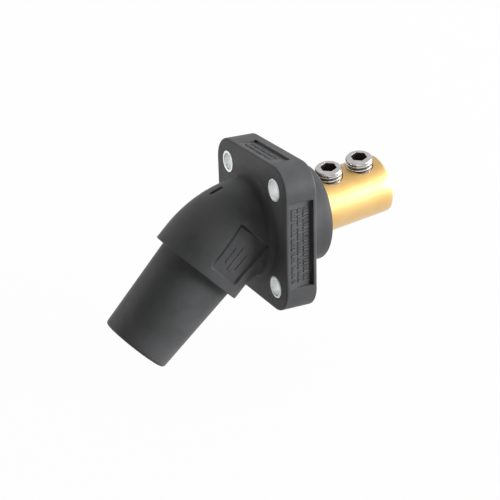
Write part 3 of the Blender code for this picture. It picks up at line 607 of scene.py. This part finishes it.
def housing_mesh():
    """The moulding as one closed grid, from the sleeve's seat out over the elbow and flange and back in.

    Its rings run up the collar's bore, over the rim, up the elbow to the foot, out over the flange's
    front, round its sides, in over its rear, along the boss, down the barrel's bore and out over the
    seat to where they began. Four holes are then cut for the bushes.
    """
    angles = housing_angles()
    room = NOSE_ROOT_RADIUS + FIT_GAP
    rings = []

    # Collar's bore and rim
    for reach in np.linspace(SEAT_REACH, COLLAR_REACH - SOFT_CORNER, 5):
        rings.append(nose.ring(reach, room, angles))
    for drawn, come in edge_arc(3)[1:]:
        rings.append(nose.ring(COLLAR_REACH - SOFT_CORNER * come, room + SOFT_CORNER * drawn, angles))
    for come, drawn in edge_arc(4):
        radius = ELBOW_RADIUS - COLLAR_EDGE_RADIUS * drawn
        rings.append(nose.ring(COLLAR_REACH - COLLAR_EDGE_RADIUS * come, radius, angles))

    # Elbow from the rim to the foot's fillet
    for reach in np.linspace(COLLAR_REACH - COLLAR_EDGE_RADIUS, BEND_END, 17)[1:]:
        ring = nose.ring(reach, ELBOW_RADIUS, angles)
        rings.append(sink_elbow_recess(ring, angles))
    foot_turn = turn_at(ELBOW_FOOT_RADIUS, ELBOW_RADIUS, angles)
    for turn in spread(NOSE_ANGLE, foot_turn, ELBOW_ROWS):
        ring = elbow_ring(turn, ELBOW_RADIUS, angles)
        rings.append(sink_top_notch(sink_elbow_recess(ring, angles)))

    # Fillet of the foot and the flange's front face
    for swell, distance in edge_arc(8)[1:]:
        radius = ELBOW_RADIUS + ELBOW_FOOT_RADIUS * swell
        turn = turn_at(ELBOW_FOOT_RADIUS * distance, radius, angles)
        ring = elbow_ring(turn, radius, angles)
        rings.append(sink_elbow_recess(ring, angles))
    rings += spread(rings[-1], flange_ring(-FLANGE_THICKNESS, FLANGE_EDGE_RADIUS, angles), 12)

    # Front edge, sides and rear edge
    for come, drawn in edge_arc()[1:]:
        y = FLANGE_EDGE_RADIUS * come - FLANGE_THICKNESS
        rings.append(flange_ring(y, FLANGE_EDGE_RADIUS * drawn, angles))
    walls = [-SIDE_RECESS["rear_land"], -TOP_RECESS["rear_land"]]
    front, rear = FLANGE_EDGE_RADIUS - FLANGE_THICKNESS, -FLANGE_EDGE_RADIUS
    rows = crowded(front, rear, FLANGE_ROWS, walls, *ROW_CROWDING)[1:]
    rings += [flange_ring(y, 0.0, angles) for y in rows]
    for drawn, come in edge_arc()[1:]:
        rings.append(flange_ring(-FLANGE_EDGE_RADIUS * come, FLANGE_EDGE_RADIUS * drawn, angles))

    # Rear face and boss
    rings += spread(rings[-1], panel.ring(0.0, BOSS_RADIUS + SOFT_CORNER, angles), 8)
    for come, drawn in edge_arc(3)[1:]:
        rings.append(panel.ring(SOFT_CORNER * come, BOSS_RADIUS + SOFT_CORNER * drawn, angles))
    for reach in np.linspace(SOFT_CORNER, BOSS_LENGTH - BOSS_EDGE_RADIUS, 6)[1:]:
        rings.append(panel.ring(reach, BOSS_RADIUS, angles))
    for drawn, come in edge_arc(4)[1:]:
        radius = BOSS_RADIUS - BOSS_EDGE_RADIUS * drawn
        rings.append(panel.ring(BOSS_LENGTH - BOSS_EDGE_RADIUS * come, radius, angles))

    # Barrel's bore, which the boss's end plane and the seat's plane cut aslant
    bore = BARREL_RADIUS + MOULD_GAP
    mouth = barrel.ring(0.0, bore, angles)
    mouth_reach = (BOSS_LENGTH - mouth[:, 1]) / barrel.along[1]
    rings += spread(rings[-1], barrel.ring(mouth_reach, bore, angles), 4)
    seat_reach = (SEAT_REACH - (mouth - nose.origin) @ nose.along) / (barrel.along @ nose.along)
    rings += [barrel.ring(reach, bore, angles) for reach in spread(mouth_reach, seat_reach, 5)]
    rings += spread(rings[-1], rings[0], 4)[:-1]

    # Painted shade at the foot of the pad's walls and in the elbow's foot fillet, one share for each point
    painted_shade = [np.maximum(pad_shade(ring), foot_shade(ring)) for ring in rings]
    mesh = grid_mesh("housing_grid", rings, True, painted_shade)
    return carved(mesh, joined([bush_hole_cutter(centre) for centre in HOLE_CENTRES]))


def hole_axis(centre):
    """The axis of a hole in the flange, from the flange's rear face on."""
    return Axis((centre[0], 0.0, centre[2]), (0.0, 1.0, 0.0))


def bush_hole_cutter(centre):
    """A round cutter through the flange that widens to a soft edge at both faces."""
    radius = BUSH_RADIUS + MOULD_GAP
    wide = radius + SOFT_CORNER
    front = -FLANGE_THICKNESS
    corners = [(0.0, CUT_MARGIN, 0.0), (wide, CUT_MARGIN, 0.0), (wide, 0.0, 0.0)]
    corners += [(radius, -SOFT_CORNER, SOFT_CORNER), (radius, SOFT_CORNER - FLANGE_THICKNESS, SOFT_CORNER)]
    corners += [(wide, front, 0.0), (wide, front - CUT_MARGIN, 0.0), (0.0, front - CUT_MARGIN, 0.0)]
    return turned_mesh("bush_hole", hole_axis(centre), corners, HOLE_COLUMNS, False)


# Raised marks on the floors of the recesses

def mark_layout(lines, low, high, seed):
    """Rectangles (u low, u high, v low, v high) of plain bars in lines along u.

    A line is (v, width) in millimetres. Its bars' lengths step through the golden section's multiples,
    modulo one.
    """
    golden = (math.sqrt(5.0) - 1.0) / 2.0
    rectangles = []
    for line_number, (middle, width) in enumerate(lines):
        place = low
        count = seed + LINE_STEP * line_number
        while True:
            count += 1
            length = (SHORTEST_BAR + BAR_SPREAD * (count * golden % 1.0)) * MM
            if place + length > high:
                break
            half = width * MM / 2.0
            rectangles.append((place, place + length, middle * MM - half, middle * MM + half))
            place += length + (BAR_GAP if count % GROUP_SIZE else GROUP_GAP) * MM
    return np.array(rectangles)


def raised_bars(name, rectangles, surface, height):
    """Plain bars with sloping sides on a floor; surface(u, v, lift) gives the floor's points."""
    corners = []
    for inset, lift in ((0.0, BAR_ROOT), (BAR_SLOPE, height)):
        u_low, v_low = rectangles[:, 0] + inset, rectangles[:, 2] + inset
        u_high, v_high = rectangles[:, 1] - inset, rectangles[:, 3] - inset
        outline = ((u_low, v_low), (u_high, v_low), (u_high, v_high), (u_low, v_high))
        corners += [surface(u, v, lift) for u, v in outline]
    points = np.stack(corners, axis=1).reshape(-1, 3)
    faces = np.array(((3, 2, 1, 0), (4, 5, 6, 7), (0, 1, 5, 4), (1, 2, 6, 5), (2, 3, 7, 6), (3, 0, 4, 7)))
    quads = (8 * np.arange(len(rectangles))[:, None, None] + faces).reshape(-1, 4)
    return mesh_of(name, points, quads)


def wedge_floor(recess, v):
    """How far a wedge recess's floor lies from the middle of the flange at depth v."""
    return FLANGE_HALF - recess["depth"] * (v - RECESS_FRONT) / (-recess["rear_land"] - RECESS_FRONT)


def side_floor(u, v, lift):
    """A point of the side recess's floor at height u and depth v."""
    return np.stack((wedge_floor(SIDE_RECESS, v) + lift, v, u), axis=-1)


def top_floor(u, v, lift):
    """A point of the top recess's floor at x = u and depth v."""
    return np.stack((u, v, wedge_floor(TOP_RECESS, v) + lift), axis=-1)


def elbow_floor(u, v, lift):
    """A point of the elbow recess's floor at reach u along the nose and v above its axis.

    Its x is the root of radius^2 - offset^2, where offset is the distance from the elbow's centre line
    in the plane x = 0: from the bend's circle while the point is beside the bend, and v beyond it.
    """
    flat = nose.origin + u[:, None] * nose.along + v[:, None] * nose.rise
    bend_offset = np.linalg.norm(flat - BEND_CENTRE, axis=1) - ELBOW_BEND_RADIUS
    offset = np.where(u < BEND_END, bend_offset, v)
    radius = ELBOW_RADIUS - ELBOW_RECESS_DEPTH + lift
    return flat + np.sqrt(radius ** 2 - offset ** 2)[:, None] * ACROSS


def add_raised_marks():
    """Lines of bars on the two wedge floors, and three longer bars on the elbow's pad."""
    for place, rectangles, floor in (
            ("side", mark_layout(*SIDE_LINES), side_floor),
            ("top", mark_layout(*TOP_LINES), top_floor),
            ("elbow", np.array(ELBOW_BARS) * MM, elbow_floor)):
        mesh = raised_bars(f"{place}_marks", rectangles, floor, MARK_HEIGHTS[place])
        add_piece(f"{place}_recess_marks", mesh, "moulded_rubber")


# Sleeve, contact and bushes

def nose_sleeve_mesh():
    """The sleeve: straight in the collar, tapered outside it, with a lip over the contact's front."""
    lip = CONTACT_FRONT + FIT_GAP
    shoulder = SHOULDER_RADIUS + MOULD_GAP
    room = CONTACT_RADIUS + MOULD_GAP
    shoulder_front = CONTACT_REAR + SHOULDER_LENGTH + FIT_GAP
    corners = [
        (MOUTH_BORE_RADIUS, NOSE_REACH, MOUTH_BORE_EDGE),
        (NOSE_MOUTH_RADIUS, NOSE_REACH, MOUTH_EDGE_RADIUS),
        (NOSE_ROOT_RADIUS, COLLAR_REACH, 0.0),
        (NOSE_ROOT_RADIUS, CONTACT_REAR, SOFT_CORNER),
        (shoulder, CONTACT_REAR, 0.0),
        (shoulder, shoulder_front, 0.0),
        (room, shoulder_front, 0.0),
        (room, lip, 0.0),
        (MOUTH_BORE_RADIUS, lip, FINE_EDGE),
    ]
    return turned_mesh("nose_sleeve_grid", nose, corners)


def contact_mesh():
    """The female contact: a tube with a shoulder at its root and a floor that the cap screw clamps."""
    shoulder_front = CONTACT_REAR + SHOULDER_LENGTH
    floor = CONTACT_REAR + CONTACT_FLOOR
    hole = BOLT_RADIUS + FIT_GAP
    corners = [
        (CONTACT_BORE_RADIUS, CONTACT_FRONT, CONTACT_LEAD_IN),
        (CONTACT_RADIUS, CONTACT_FRONT, SMALL_EDGE),
        (CONTACT_RADIUS, shoulder_front, 0.0),
        (SHOULDER_RADIUS, shoulder_front, SOFT_CORNER),
        (SHOULDER_RADIUS, CONTACT_REAR, SOFT_CORNER),
        (hole, CONTACT_REAR, SOFT_CORNER),
        (hole, floor, SOFT_CORNER),
        (CONTACT_BORE_RADIUS, floor, CONTACT_FLOOR_ROUND),
    ]
    radius, low = CAM_PIN_RADIUS + CAM_PIN_GAP, CONTACT_BORE_RADIUS / 2.0
    cutter = drill(cam_pin_axis(), radius, CONTACT_RADIUS, low, PIN_COLUMNS)
    return carved(turned_mesh("contact_grid", nose, corners), cutter)


def drill(axis, radius, surface, low, columns):
    """A plain round cutter about an axis, from over a surface's reach down to a low one."""
    high = surface + CUT_MARGIN
    corners = [(0.0, high, 0.0), (radius, high, 0.0), (radius, low, 0.0), (0.0, low, 0.0)]
    return turned_mesh("drill", axis, corners, columns, False)


def cam_pin_axis():
    """The pin's axis, square to the nose and rising from it."""
    return Axis(nose.origin + (CONTACT_FRONT - CAM_PIN_SETBACK) * nose.along, nose.rise)


def cam_pin_mesh():
    """The cross pin, flush with the contact's outside and rounded where it stands into the bore."""
    foot = CONTACT_BORE_RADIUS - CAM_PIN_STAND
    corners = [
        (0.0, CONTACT_RADIUS, 0.0),
        (CAM_PIN_RADIUS, CONTACT_RADIUS, FINE_EDGE),
        (CAM_PIN_RADIUS, foot, SMALL_EDGE),
        (0.0, foot, 0.0),
    ]
    return turned_mesh("cam_pin_grid", cam_pin_axis(), corners, PIN_COLUMNS, False)


def washer_mesh():
    """The spring washer as a bar of rectangular section wound once, its two ends a little apart."""
    inner, outer = BOLT_RADIUS + FIT_GAP, BOLT_HEAD_RADIUS
    corners = ((inner, 0.0), (inner, WASHER_THICKNESS), (outer, WASHER_THICKNESS), (outer, 0.0))
    section = np.array(rounded([(radius, reach, WASHER_EDGE) for radius, reach in corners], True))
    start = math.pi / 2.0
    lengthways = np.linspace(start + WASHER_SPLIT, start + FULL_TURN - WASHER_SPLIT, WASHER_STEPS)
    bar = []
    for angle in lengthways:
        outward = math.cos(angle) * ACROSS + math.sin(angle) * nose.rise
        bar.append(nose.origin + section[:, :1] * outward + (WASHER_REAR + section[:, 1:]) * nose.along)
    ends = [np.broadcast_to(ring.mean(axis=0), ring.shape) for ring in (bar[0], bar[-1])]
    return grid_mesh("washer_grid", [ends[0]] + bar + [ends[1]], False)


def bush_mesh(centre):
    """A plain bush with softened ends, flush with both faces of the flange."""
    corners = [
        (BUSH_BORE_RADIUS, 0.0, SOFT_CORNER),
        (BUSH_RADIUS, 0.0, BUSH_EDGE),
        (BUSH_RADIUS, -FLANGE_THICKNESS, BUSH_EDGE),
        (BUSH_BORE_RADIUS, -FLANGE_THICKNESS, SOFT_CORNER),
    ]
    return turned_mesh("bush_grid", hole_axis(centre), corners, SMALL_COLUMNS)


# Screws

def socket_rings(axis, top, across_flats, depth, angles):
    """Rings of a key socket, from its bevelled mouth down to the point of its drilled floor.

    A side of the hexagon lies at half the flats over cos of the angle from that side's middle.
    """
    sector = math.pi / 3.0
    hexagon = across_flats / 2.0 / np.cos((angles - HEX_TURN + sector / 2.0) % sector - sector / 2.0)
    floor = top - depth
    return [axis.ring(reach, radius, angles) for reach, radius in (
        (top, hexagon + SOCKET_BEVEL),
        (top - SOCKET_BEVEL, hexagon),
        (floor + depth * 0.5, hexagon),
        (floor, hexagon),
        (floor, across_flats * SOCKET_DRILL_SHARE),
        (floor - SOCKET_POINT, 0.0))]


def set_screw_axis(along):
    """A set screw's axis: it starts on the barrel's axis and points the way in which its joint slides."""
    return Axis(barrel.origin + along * barrel.along, frame["joints"][0]["axis"], barrel.along)


def set_screw_mesh(axis):
    """A socket set screw: rounded crown, threaded shank and a cup point.

    The thread's depth at a reach h and an angle a is a wave of h / pitch - a / full turn with flat
    crests and narrow roots, which climbs by one pitch in a turn and so closes on itself. The thread's
    roots carry painted shade, the crown's foot is darker in three places round it with a painted dark
    reflection, and the socket is painted dark as shade.
    """
    angles = column_angles(SMALL_COLUMNS)
    top = BARREL_RADIUS + SCREW_STAND
    bottom = top - SCREW_LENGTH
    shank_top = top - SCREW_CROWN
    shank_bottom = bottom + SCREW_POINT_HEIGHT
    rings = [axis.ring(bottom + rise, radius, angles) for rise, radius in SCREW_CUP]
    painted_shade = [0.0] * len(rings)
    for reach in np.linspace(shank_bottom, shank_top, THREAD_ROWS):
        phase = (reach / SCREW_PITCH - angles / FULL_TURN) % 1.0
        groove = smooth_step(np.abs(2.0 * phase - 1.0), *GROOVE_EDGE)
        fade = min(1.0, (shank_top - reach) / THREAD_TOP_FADE, (reach - shank_bottom) / THREAD_END_FADE)
        rings.append(axis.ring(reach, SCREW_RADIUS - SCREW_THREAD_DEPTH * fade * groove, angles))
        # Painted shade in the thread's roots
        painted_shade.append(fade * groove)
    # Painted dark reflection in three patches round the crown's foot
    painted_reflection_patches = 0.55 + 0.45 * np.sin(3.0 * angles + 0.8)
    for share in np.linspace(0.0, 1.0, 7)[1:]:
        swing = share * math.pi / 2.0
        radius = SCREW_RADIUS - SCREW_CROWN * (1.0 - math.cos(swing))
        rings.append(axis.ring(shank_top + SCREW_CROWN * math.sin(swing), radius, angles))
        painted_shade.append(0.9 * (1.0 - smooth_step(share, 0.45, 0.5)) * painted_reflection_patches)
    socket = socket_rings(axis, top, SCREW_HEX, SCREW_HEX_DEPTH, angles)
    return grid_mesh("set_screw_grid", rings + socket, False, painted_shade + SOCKET_PAINTED_SHADE)


def contact_screw_mesh():
    """The socket cap screw that clamps the contact to the barrel, with its shank up the nose's axis."""
    angles = column_angles(SMALL_COLUMNS)
    head_low = WASHER_REAR + WASHER_THICKNESS + FIT_GAP
    head_high = head_low + BOLT_HEAD_HEIGHT
    profile = rounded([
        (0.0, SEAT_REACH - BOLT_GRIP, 0.0),
        (BOLT_RADIUS, SEAT_REACH - BOLT_GRIP, BOLT_TIP_EDGE),
        (BOLT_RADIUS, head_low, 0.0),
        (BOLT_HEAD_RADIUS, head_low, FINE_EDGE),
        (BOLT_HEAD_RADIUS, head_high, BOLT_HEAD_EDGE),
        (BOLT_HEX / math.sqrt(3.0) + SMALL_EDGE, head_high, 0.0)], False)
    rings = [nose.ring(reach, radius, angles) for radius, reach in profile]
    socket = socket_rings(nose, head_high, BOLT_HEX, BOLT_HEX_DEPTH, angles)
    # The socket's rings carry painted shade
    return grid_mesh("contact_screw_grid", rings + socket, False, [0.0] * len(rings) + SOCKET_PAINTED_SHADE)


def barrel_mesh():
    """The cable barrel: a turned bar whose front end is cut along the seat, bored from behind and tapped.

    Its front ring lies where the bar's columns meet the seat's plane, square to the nose at SEAT_REACH.
    """
    angles = column_angles(TURNED_COLUMNS)

    def on_seat(radius):
        """Reach along the barrel at which each column at this radius meets the seat's plane."""
        gap = SEAT_REACH - (barrel.ring(0.0, radius, angles) - nose.origin) @ nose.along
        return gap / (barrel.along @ nose.along)

    radii = (0.0, BARREL_RADIUS * 0.5, BARREL_RADIUS)
    rings = [barrel.ring(on_seat(radius), radius, angles) for radius in radii]
    front = on_seat(BARREL_RADIUS)
    straight = BARREL_REAR - BARREL_EDGE_RADIUS
    rings += [barrel.ring(reach, BARREL_RADIUS, angles) for reach in spread(front, straight, 24)]
    for drawn, come in edge_arc(4)[1:]:
        reach = BARREL_REAR - BARREL_EDGE_RADIUS * come
        rings.append(barrel.ring(reach, BARREL_RADIUS - BARREL_EDGE_RADIUS * drawn, angles))
    rings.append(barrel.ring(BARREL_REAR, CABLE_BORE_RADIUS + CABLE_BORE_CHAMFER, angles))
    for depth in (CABLE_BORE_CHAMFER, *BORE_ROWS, CABLE_BORE_DEPTH):
        rings.append(barrel.ring(BARREL_REAR - depth, CABLE_BORE_RADIUS, angles))
    rings.append(barrel.ring(BARREL_REAR - CABLE_BORE_DEPTH - CABLE_BORE_POINT, 0.0, angles))
    body = grid_mesh("cable_barrel_grid", rings, False)
    low = CABLE_BORE_RADIUS / 2.0
    drills = [drill(set_screw_axis(along), SCREW_HOLE_RADIUS, BARREL_RADIUS, low, SMALL_COLUMNS)
              for along in SCREW_ALONG]
    low = SEAT_REACH - BOLT_GRIP - TAPPED_HOLE_END
    drills.append(drill(nose, BOLT_RADIUS + TAPPED_HOLE_GAP, SEAT_REACH, low, PIN_COLUMNS))
    return carved(body, joined(drills))


# Materials

class Wire:
    """An output socket that ordinary arithmetic can be written with."""

    def __init__(self, finish, socket):
        self.finish = finish
        self.socket = socket

    def math(self, operation, *values):
        return self.finish.node("ShaderNodeMath", {"operation": operation}, values)

    def __add__(self, other):
        return self.math("ADD", self, other)

    def __sub__(self, other):
        return self.math("SUBTRACT", self, other)

    def __mul__(self, other):
        return self.math("MULTIPLY", self, other)

    def __rsub__(self, other):
        return self.math("SUBTRACT", other, self)

    __radd__ = __add__
    __rmul__ = __mul__

    def within(self, low, high):
        """0 up to low, 1 from high on, and a smooth rise between."""
        settings = {"interpolation_type": "SMOOTHSTEP"}
        return self.finish.node("ShaderNodeMapRange", settings, (self, low, high, 0.0, 1.0))


class Finish:
    """The nodes of a material or of the world, with one method that makes them."""

    def __init__(self, owner):
        owner.use_nodes = True
        self.owner = owner
        self.tree = owner.node_tree
        self.shader = self.tree.nodes.get("Principled BSDF")

    def node(self, kind, settings=None, inputs=(), output=0):
        """Make a node, set its settings, fill its inputs from a row or a dict, and give one output."""
        node = self.tree.nodes.new(kind)
        for setting, value in (settings or {}).items():
            setattr(node, setting, value)
        pairs = inputs.items() if isinstance(inputs, dict) else enumerate(inputs)
        for key, value in pairs:
            self.fill(node.inputs[key], value)
        return Wire(self, node.outputs[output])

    def fill(self, socket, value):
        if isinstance(value, Wire):
            self.tree.links.new(value.socket, socket)
        else:
            socket.default_value = value

    def set(self, **values):
        """Fill the shader's own inputs, named with underscores for spaces."""
        for name, value in values.items():
            self.fill(self.shader.inputs[name.replace("_", " ")], value)

    def surface(self, wire):
        """Let a shader's output be what shows."""
        self.fill(self.tree.get_output_node("ALL").inputs["Surface"], wire)

    def ray(self, kind):
        """1 for rays of a kind and 0 for others."""
        return self.node("ShaderNodeLightPath", output=f"Is {kind} Ray")

    def blend(self, share, first, second):
        """A shader between two."""
        return self.node("ShaderNodeMixShader", None, (share, first, second))

    def stretched(self, vector, rotation, scale):
        """The vector after an inverse turn and stretch, for marks that run along a turned part."""
        inputs = {"Vector": vector, "Rotation": rotation, "Scale": scale}
        return self.node("ShaderNodeMapping", {"vector_type": "TEXTURE"}, inputs)

    def noise(self, vector, scale, detail, roughness=0.55):
        inputs = {"Vector": vector, "Scale": scale, "Detail": detail, "Roughness": roughness}
        return self.node("ShaderNodeTexNoise", {"noise_dimensions": "3D"}, inputs)

    def mix(self, share, first, second):
        """A colour between two, where inputs 6 and 7 and output 2 are the node's colours."""
        return self.node("ShaderNodeMix", {"data_type": "RGBA"}, {0: share, 6: first, 7: second}, 2)

    def painted_shade(self):
        """The share of painted shade that the mesh gives."""
        return self.node("ShaderNodeAttribute", {"attribute_name": "painted_shade"}, output="Fac")

    def bump(self, height, distance, strength):
        inputs = {"Strength": strength, "Distance": distance, "Height": height}
        return self.node("ShaderNodeBump", None, inputs)


def colour(red, green, blue):
    return (red, green, blue, 1.0)


WHITE = colour(1.0, 1.0, 1.0)


def moulded_rubber(finish, place):
    """Charcoal moulding with fine grain, faint mottling and flow marks, darkened by painted shade where the
    mesh gives a share of it.
    """
    cloud = finish.noise(place, 70.0, 3.0)
    speck = finish.noise(place, 2600.0, 2.0, 0.6)
    grain = finish.noise(place, 5200.0, 2.0, 0.5)
    flow = finish.noise(finish.stretched(place, (0.0, 0.0, 0.6), (0.004, 0.02, 0.004)), 1.0, 3.0)
    painted_shade = finish.painted_shade()
    tone = finish.mix(cloud.within(0.35, 0.65), colour(0.072, 0.073, 0.075), colour(0.090, 0.091, 0.094))
    tone = finish.mix(speck.within(0.62, 0.78) * 0.35, tone, colour(0.13, 0.13, 0.135))
    # Painted shade: the mesh's share pulls the tone towards near black
    tone = finish.mix(painted_shade * 0.75, tone, colour(0.012, 0.012, 0.012))
    roughness = 0.5 + (flow - 0.5) * 0.12 + (cloud - 0.5) * 0.08 + painted_shade * 0.2
    finish.set(Base_Color=tone, Roughness=roughness, Specular_IOR_Level=0.17)
    finish.set(Normal=finish.bump(grain + speck * 0.6, 0.00004, 0.35))


def turned_brass(finish, place):
    """Brass with fine rings from the lathe and a faint uneven film."""
    tilt = math.asin(barrel.along[2])
    rings = finish.noise(finish.stretched(place, (tilt, 0.0, 0.0), (0.12, 0.0003, 0.12)), 1.0, 3.0, 0.6)
    film = finish.noise(place, 90.0, 3.0)
    stain = finish.noise(place, 420.0, 4.0, 0.65)
    tone = finish.mix(film.within(0.35, 0.7), colour(0.72, 0.44, 0.115), colour(0.76, 0.49, 0.155))
    tone = finish.mix(stain.within(0.6, 0.8) * 0.25, tone, colour(0.64, 0.37, 0.085))
    finish.set(Base_Color=tone, Metallic=1.0, Roughness=0.42 + rings * 0.1 + film * 0.06)
    finish.set(Coat_Weight=1.0, Coat_Roughness=0.33, Coat_IOR=1.85)
    finish.set(Normal=finish.bump(rings, 0.00002, 0.3))


def bright_steel(finish, place):
    """Plated steel, bright, with slight handling marks, darkened by painted shade and a painted dark
    reflection where the mesh gives a share of them.
    """
    film = finish.noise(place, 300.0, 3.0)
    marks = finish.noise(place, 1100.0, 3.0, 0.5)
    painted_shade = finish.painted_shade()
    tone = finish.mix(film.within(0.3, 0.7), colour(0.65, 0.635, 0.62), colour(0.74, 0.73, 0.72))
    # Painted shade and painted dark reflection: the mesh's share pulls the tone towards dark brown
    tone = finish.mix(painted_shade.within(0.1, 0.9) * 0.94, tone, colour(0.10, 0.075, 0.055))
    finish.set(Base_Color=tone, Metallic=1.0, Roughness=0.1 + film * 0.08 + painted_shade * 0.4)
    finish.set(Normal=finish.bump(marks, 0.000004, 0.2))


def plated_bush(finish, place):
    """Light satin metal with a soft even grain."""
    film = finish.noise(place, 500.0, 3.0)
    grain = finish.noise(place, 3500.0, 2.0)
    tone = finish.mix(film.within(0.3, 0.7), colour(0.88, 0.90, 0.90), colour(0.94, 0.95, 0.95))
    finish.set(Base_Color=tone, Metallic=0.7, Roughness=0.4 + grain * 0.12)
    finish.set(Normal=finish.bump(grain, 0.00001, 0.3))


# Object

def build_object():
    add_piece("housing_skin", housing_mesh(), "moulded_rubber", replaced=["housing"])
    add_raised_marks()
    for node, mesh, slot in (
            ("nose_sleeve", nose_sleeve_mesh(), "moulded_rubber"),
            ("cable_barrel", barrel_mesh(), "turned_brass"),
            ("female_contact", contact_mesh(), "turned_brass"),
            ("cam_pin", cam_pin_mesh(), "bright_steel"),
            ("lock_washer", washer_mesh(), "bright_steel"),
            ("contact_screw", contact_screw_mesh(), "bright_steel")):
        add_piece(f"{node}_skin", mesh, slot, replaced=[node])
    for number, centre in enumerate(HOLE_CENTRES, 1):
        node = f"mounting_bush_{number}"
        add_piece(f"{node}_skin", bush_mesh(centre), "plated_bush", replaced=[node])
    for number, along in enumerate(SCREW_ALONG, 1):
        node = f"set_screw_{number}"
        mesh = set_screw_mesh(set_screw_axis(along))
        add_piece(f"{node}_skin", mesh, "bright_steel", body=f"upper_{node}", replaced=[node])


# Stage, light and camera

def add_floor():
    """A wide white floor that looks as bright as the backdrop but keeps the object's shadow."""
    z = float(cad_box[0][2]) - FLOOR_DROP
    corners = [(x * FLOOR_HALF, y * FLOOR_HALF, z) for x, y in ((-1, -1), (1, -1), (1, 1), (-1, 1))]
    mesh = bpy.data.meshes.new("floor")
    mesh.from_pydata(corners, [], [(0, 1, 2, 3)])
    floor = new_object("floor", mesh)
    paper = Finish(bpy.data.materials.new("paper"))
    paper.set(Base_Color=colour(0.5, 0.5, 0.5), Roughness=0.9, Specular_IOR_Level=0.0)
    glow = paper.node("ShaderNodeEmission", None, {"Color": WHITE, "Strength": 1.0})
    seen = paper.ray("Camera") + paper.ray("Glossy") + paper.ray("Transmission")
    paper.surface(paper.blend(seen * FLOOR_GLOW, Wire(paper, paper.shader.outputs[0]), glow))
    mesh.materials.append(paper.owner)


def add_lamp(name, place, width, height, level, mirrored):
    """A softbox aimed at the origin. Its watts, level * (pi * distance)^2, light alike from any distance."""
    light = bpy.data.lights.new(name, "AREA")
    light.shape = "RECTANGLE"
    light.size = width
    light.size_y = height
    distance = np.linalg.norm(place)
    light.energy = level * math.pi ** 2 * distance ** 2
    lamp = new_object(name, light)
    back = np.array(place) / distance
    right = np.cross(SKY, back)
    right /= np.linalg.norm(right)
    lamp.matrix_world = placed(place, right, np.cross(back, right), back)
    lamp.visible_glossy = mirrored


def placed(place, right, rise, back):
    """The matrix of something at a place that looks against its back direction."""
    columns = np.column_stack((right, rise, back, place))
    return Matrix([list(row) for row in columns] + [[0.0, 0.0, 0.0, 1.0]])


def add_world():
    """White to the camera, grey to reflections and a dim fill to everything else."""
    world = Finish(bpy.data.worlds.new("backdrop"))
    fill, grey, white = (world.node("ShaderNodeBackground", None, {"Color": WHITE, "Strength": strength})
                         for strength in (DIFFUSE_FILL, GLOSSY_FILL, 1.0))
    rest = world.blend(world.ray("Glossy"), fill, grey)
    world.surface(world.blend(world.ray("Camera"), rest, white))
    bpy.context.scene.world = world.owner


def add_camera():
    """The photograph's camera: it looks back along its own direction from CAMERA_DISTANCE away."""
    azimuth, elevation, roll = np.radians((CAMERA_AZIMUTH, CAMERA_ELEVATION, CAMERA_ROLL))
    level = np.array((math.cos(azimuth), math.sin(azimuth), 0.0))
    back = math.cos(elevation) * np.cross(level, SKY) + math.sin(elevation) * SKY
    climb = np.cross(back, level)
    right = math.cos(roll) * level + math.sin(roll) * climb
    rise = math.cos(roll) * climb - math.sin(roll) * level
    data = bpy.data.cameras.new("camera")
    data.sensor_width = SENSOR_WIDTH_MM
    data.lens = FOCAL_PIXELS / PHOTO_PIXELS * SENSOR_WIDTH_MM
    data.clip_start = 0.01
    data.clip_end = 50.0
    camera = new_object("camera", data)
    place = CAMERA_DISTANCE * back + CAMERA_RIGHT * right + CAMERA_RISE * rise
    camera.matrix_world = placed(place, right, rise, back)
    bpy.context.scene.camera = camera


finishes = {}
for look in (moulded_rubber, turned_brass, bright_steel, plated_bush):
    finish = Finish(bpy.data.materials.new(look.__name__))
    look(finish, finish.node("ShaderNodeTexCoord", output="Object"))
    finishes[look.__name__] = finish.owner
build_object()
add_floor()
add_world()
for lamp_name, values in LAMPS.items():
    add_lamp(lamp_name, *values)
add_camera()
bpy.context.scene.view_settings.view_transform = "Standard"
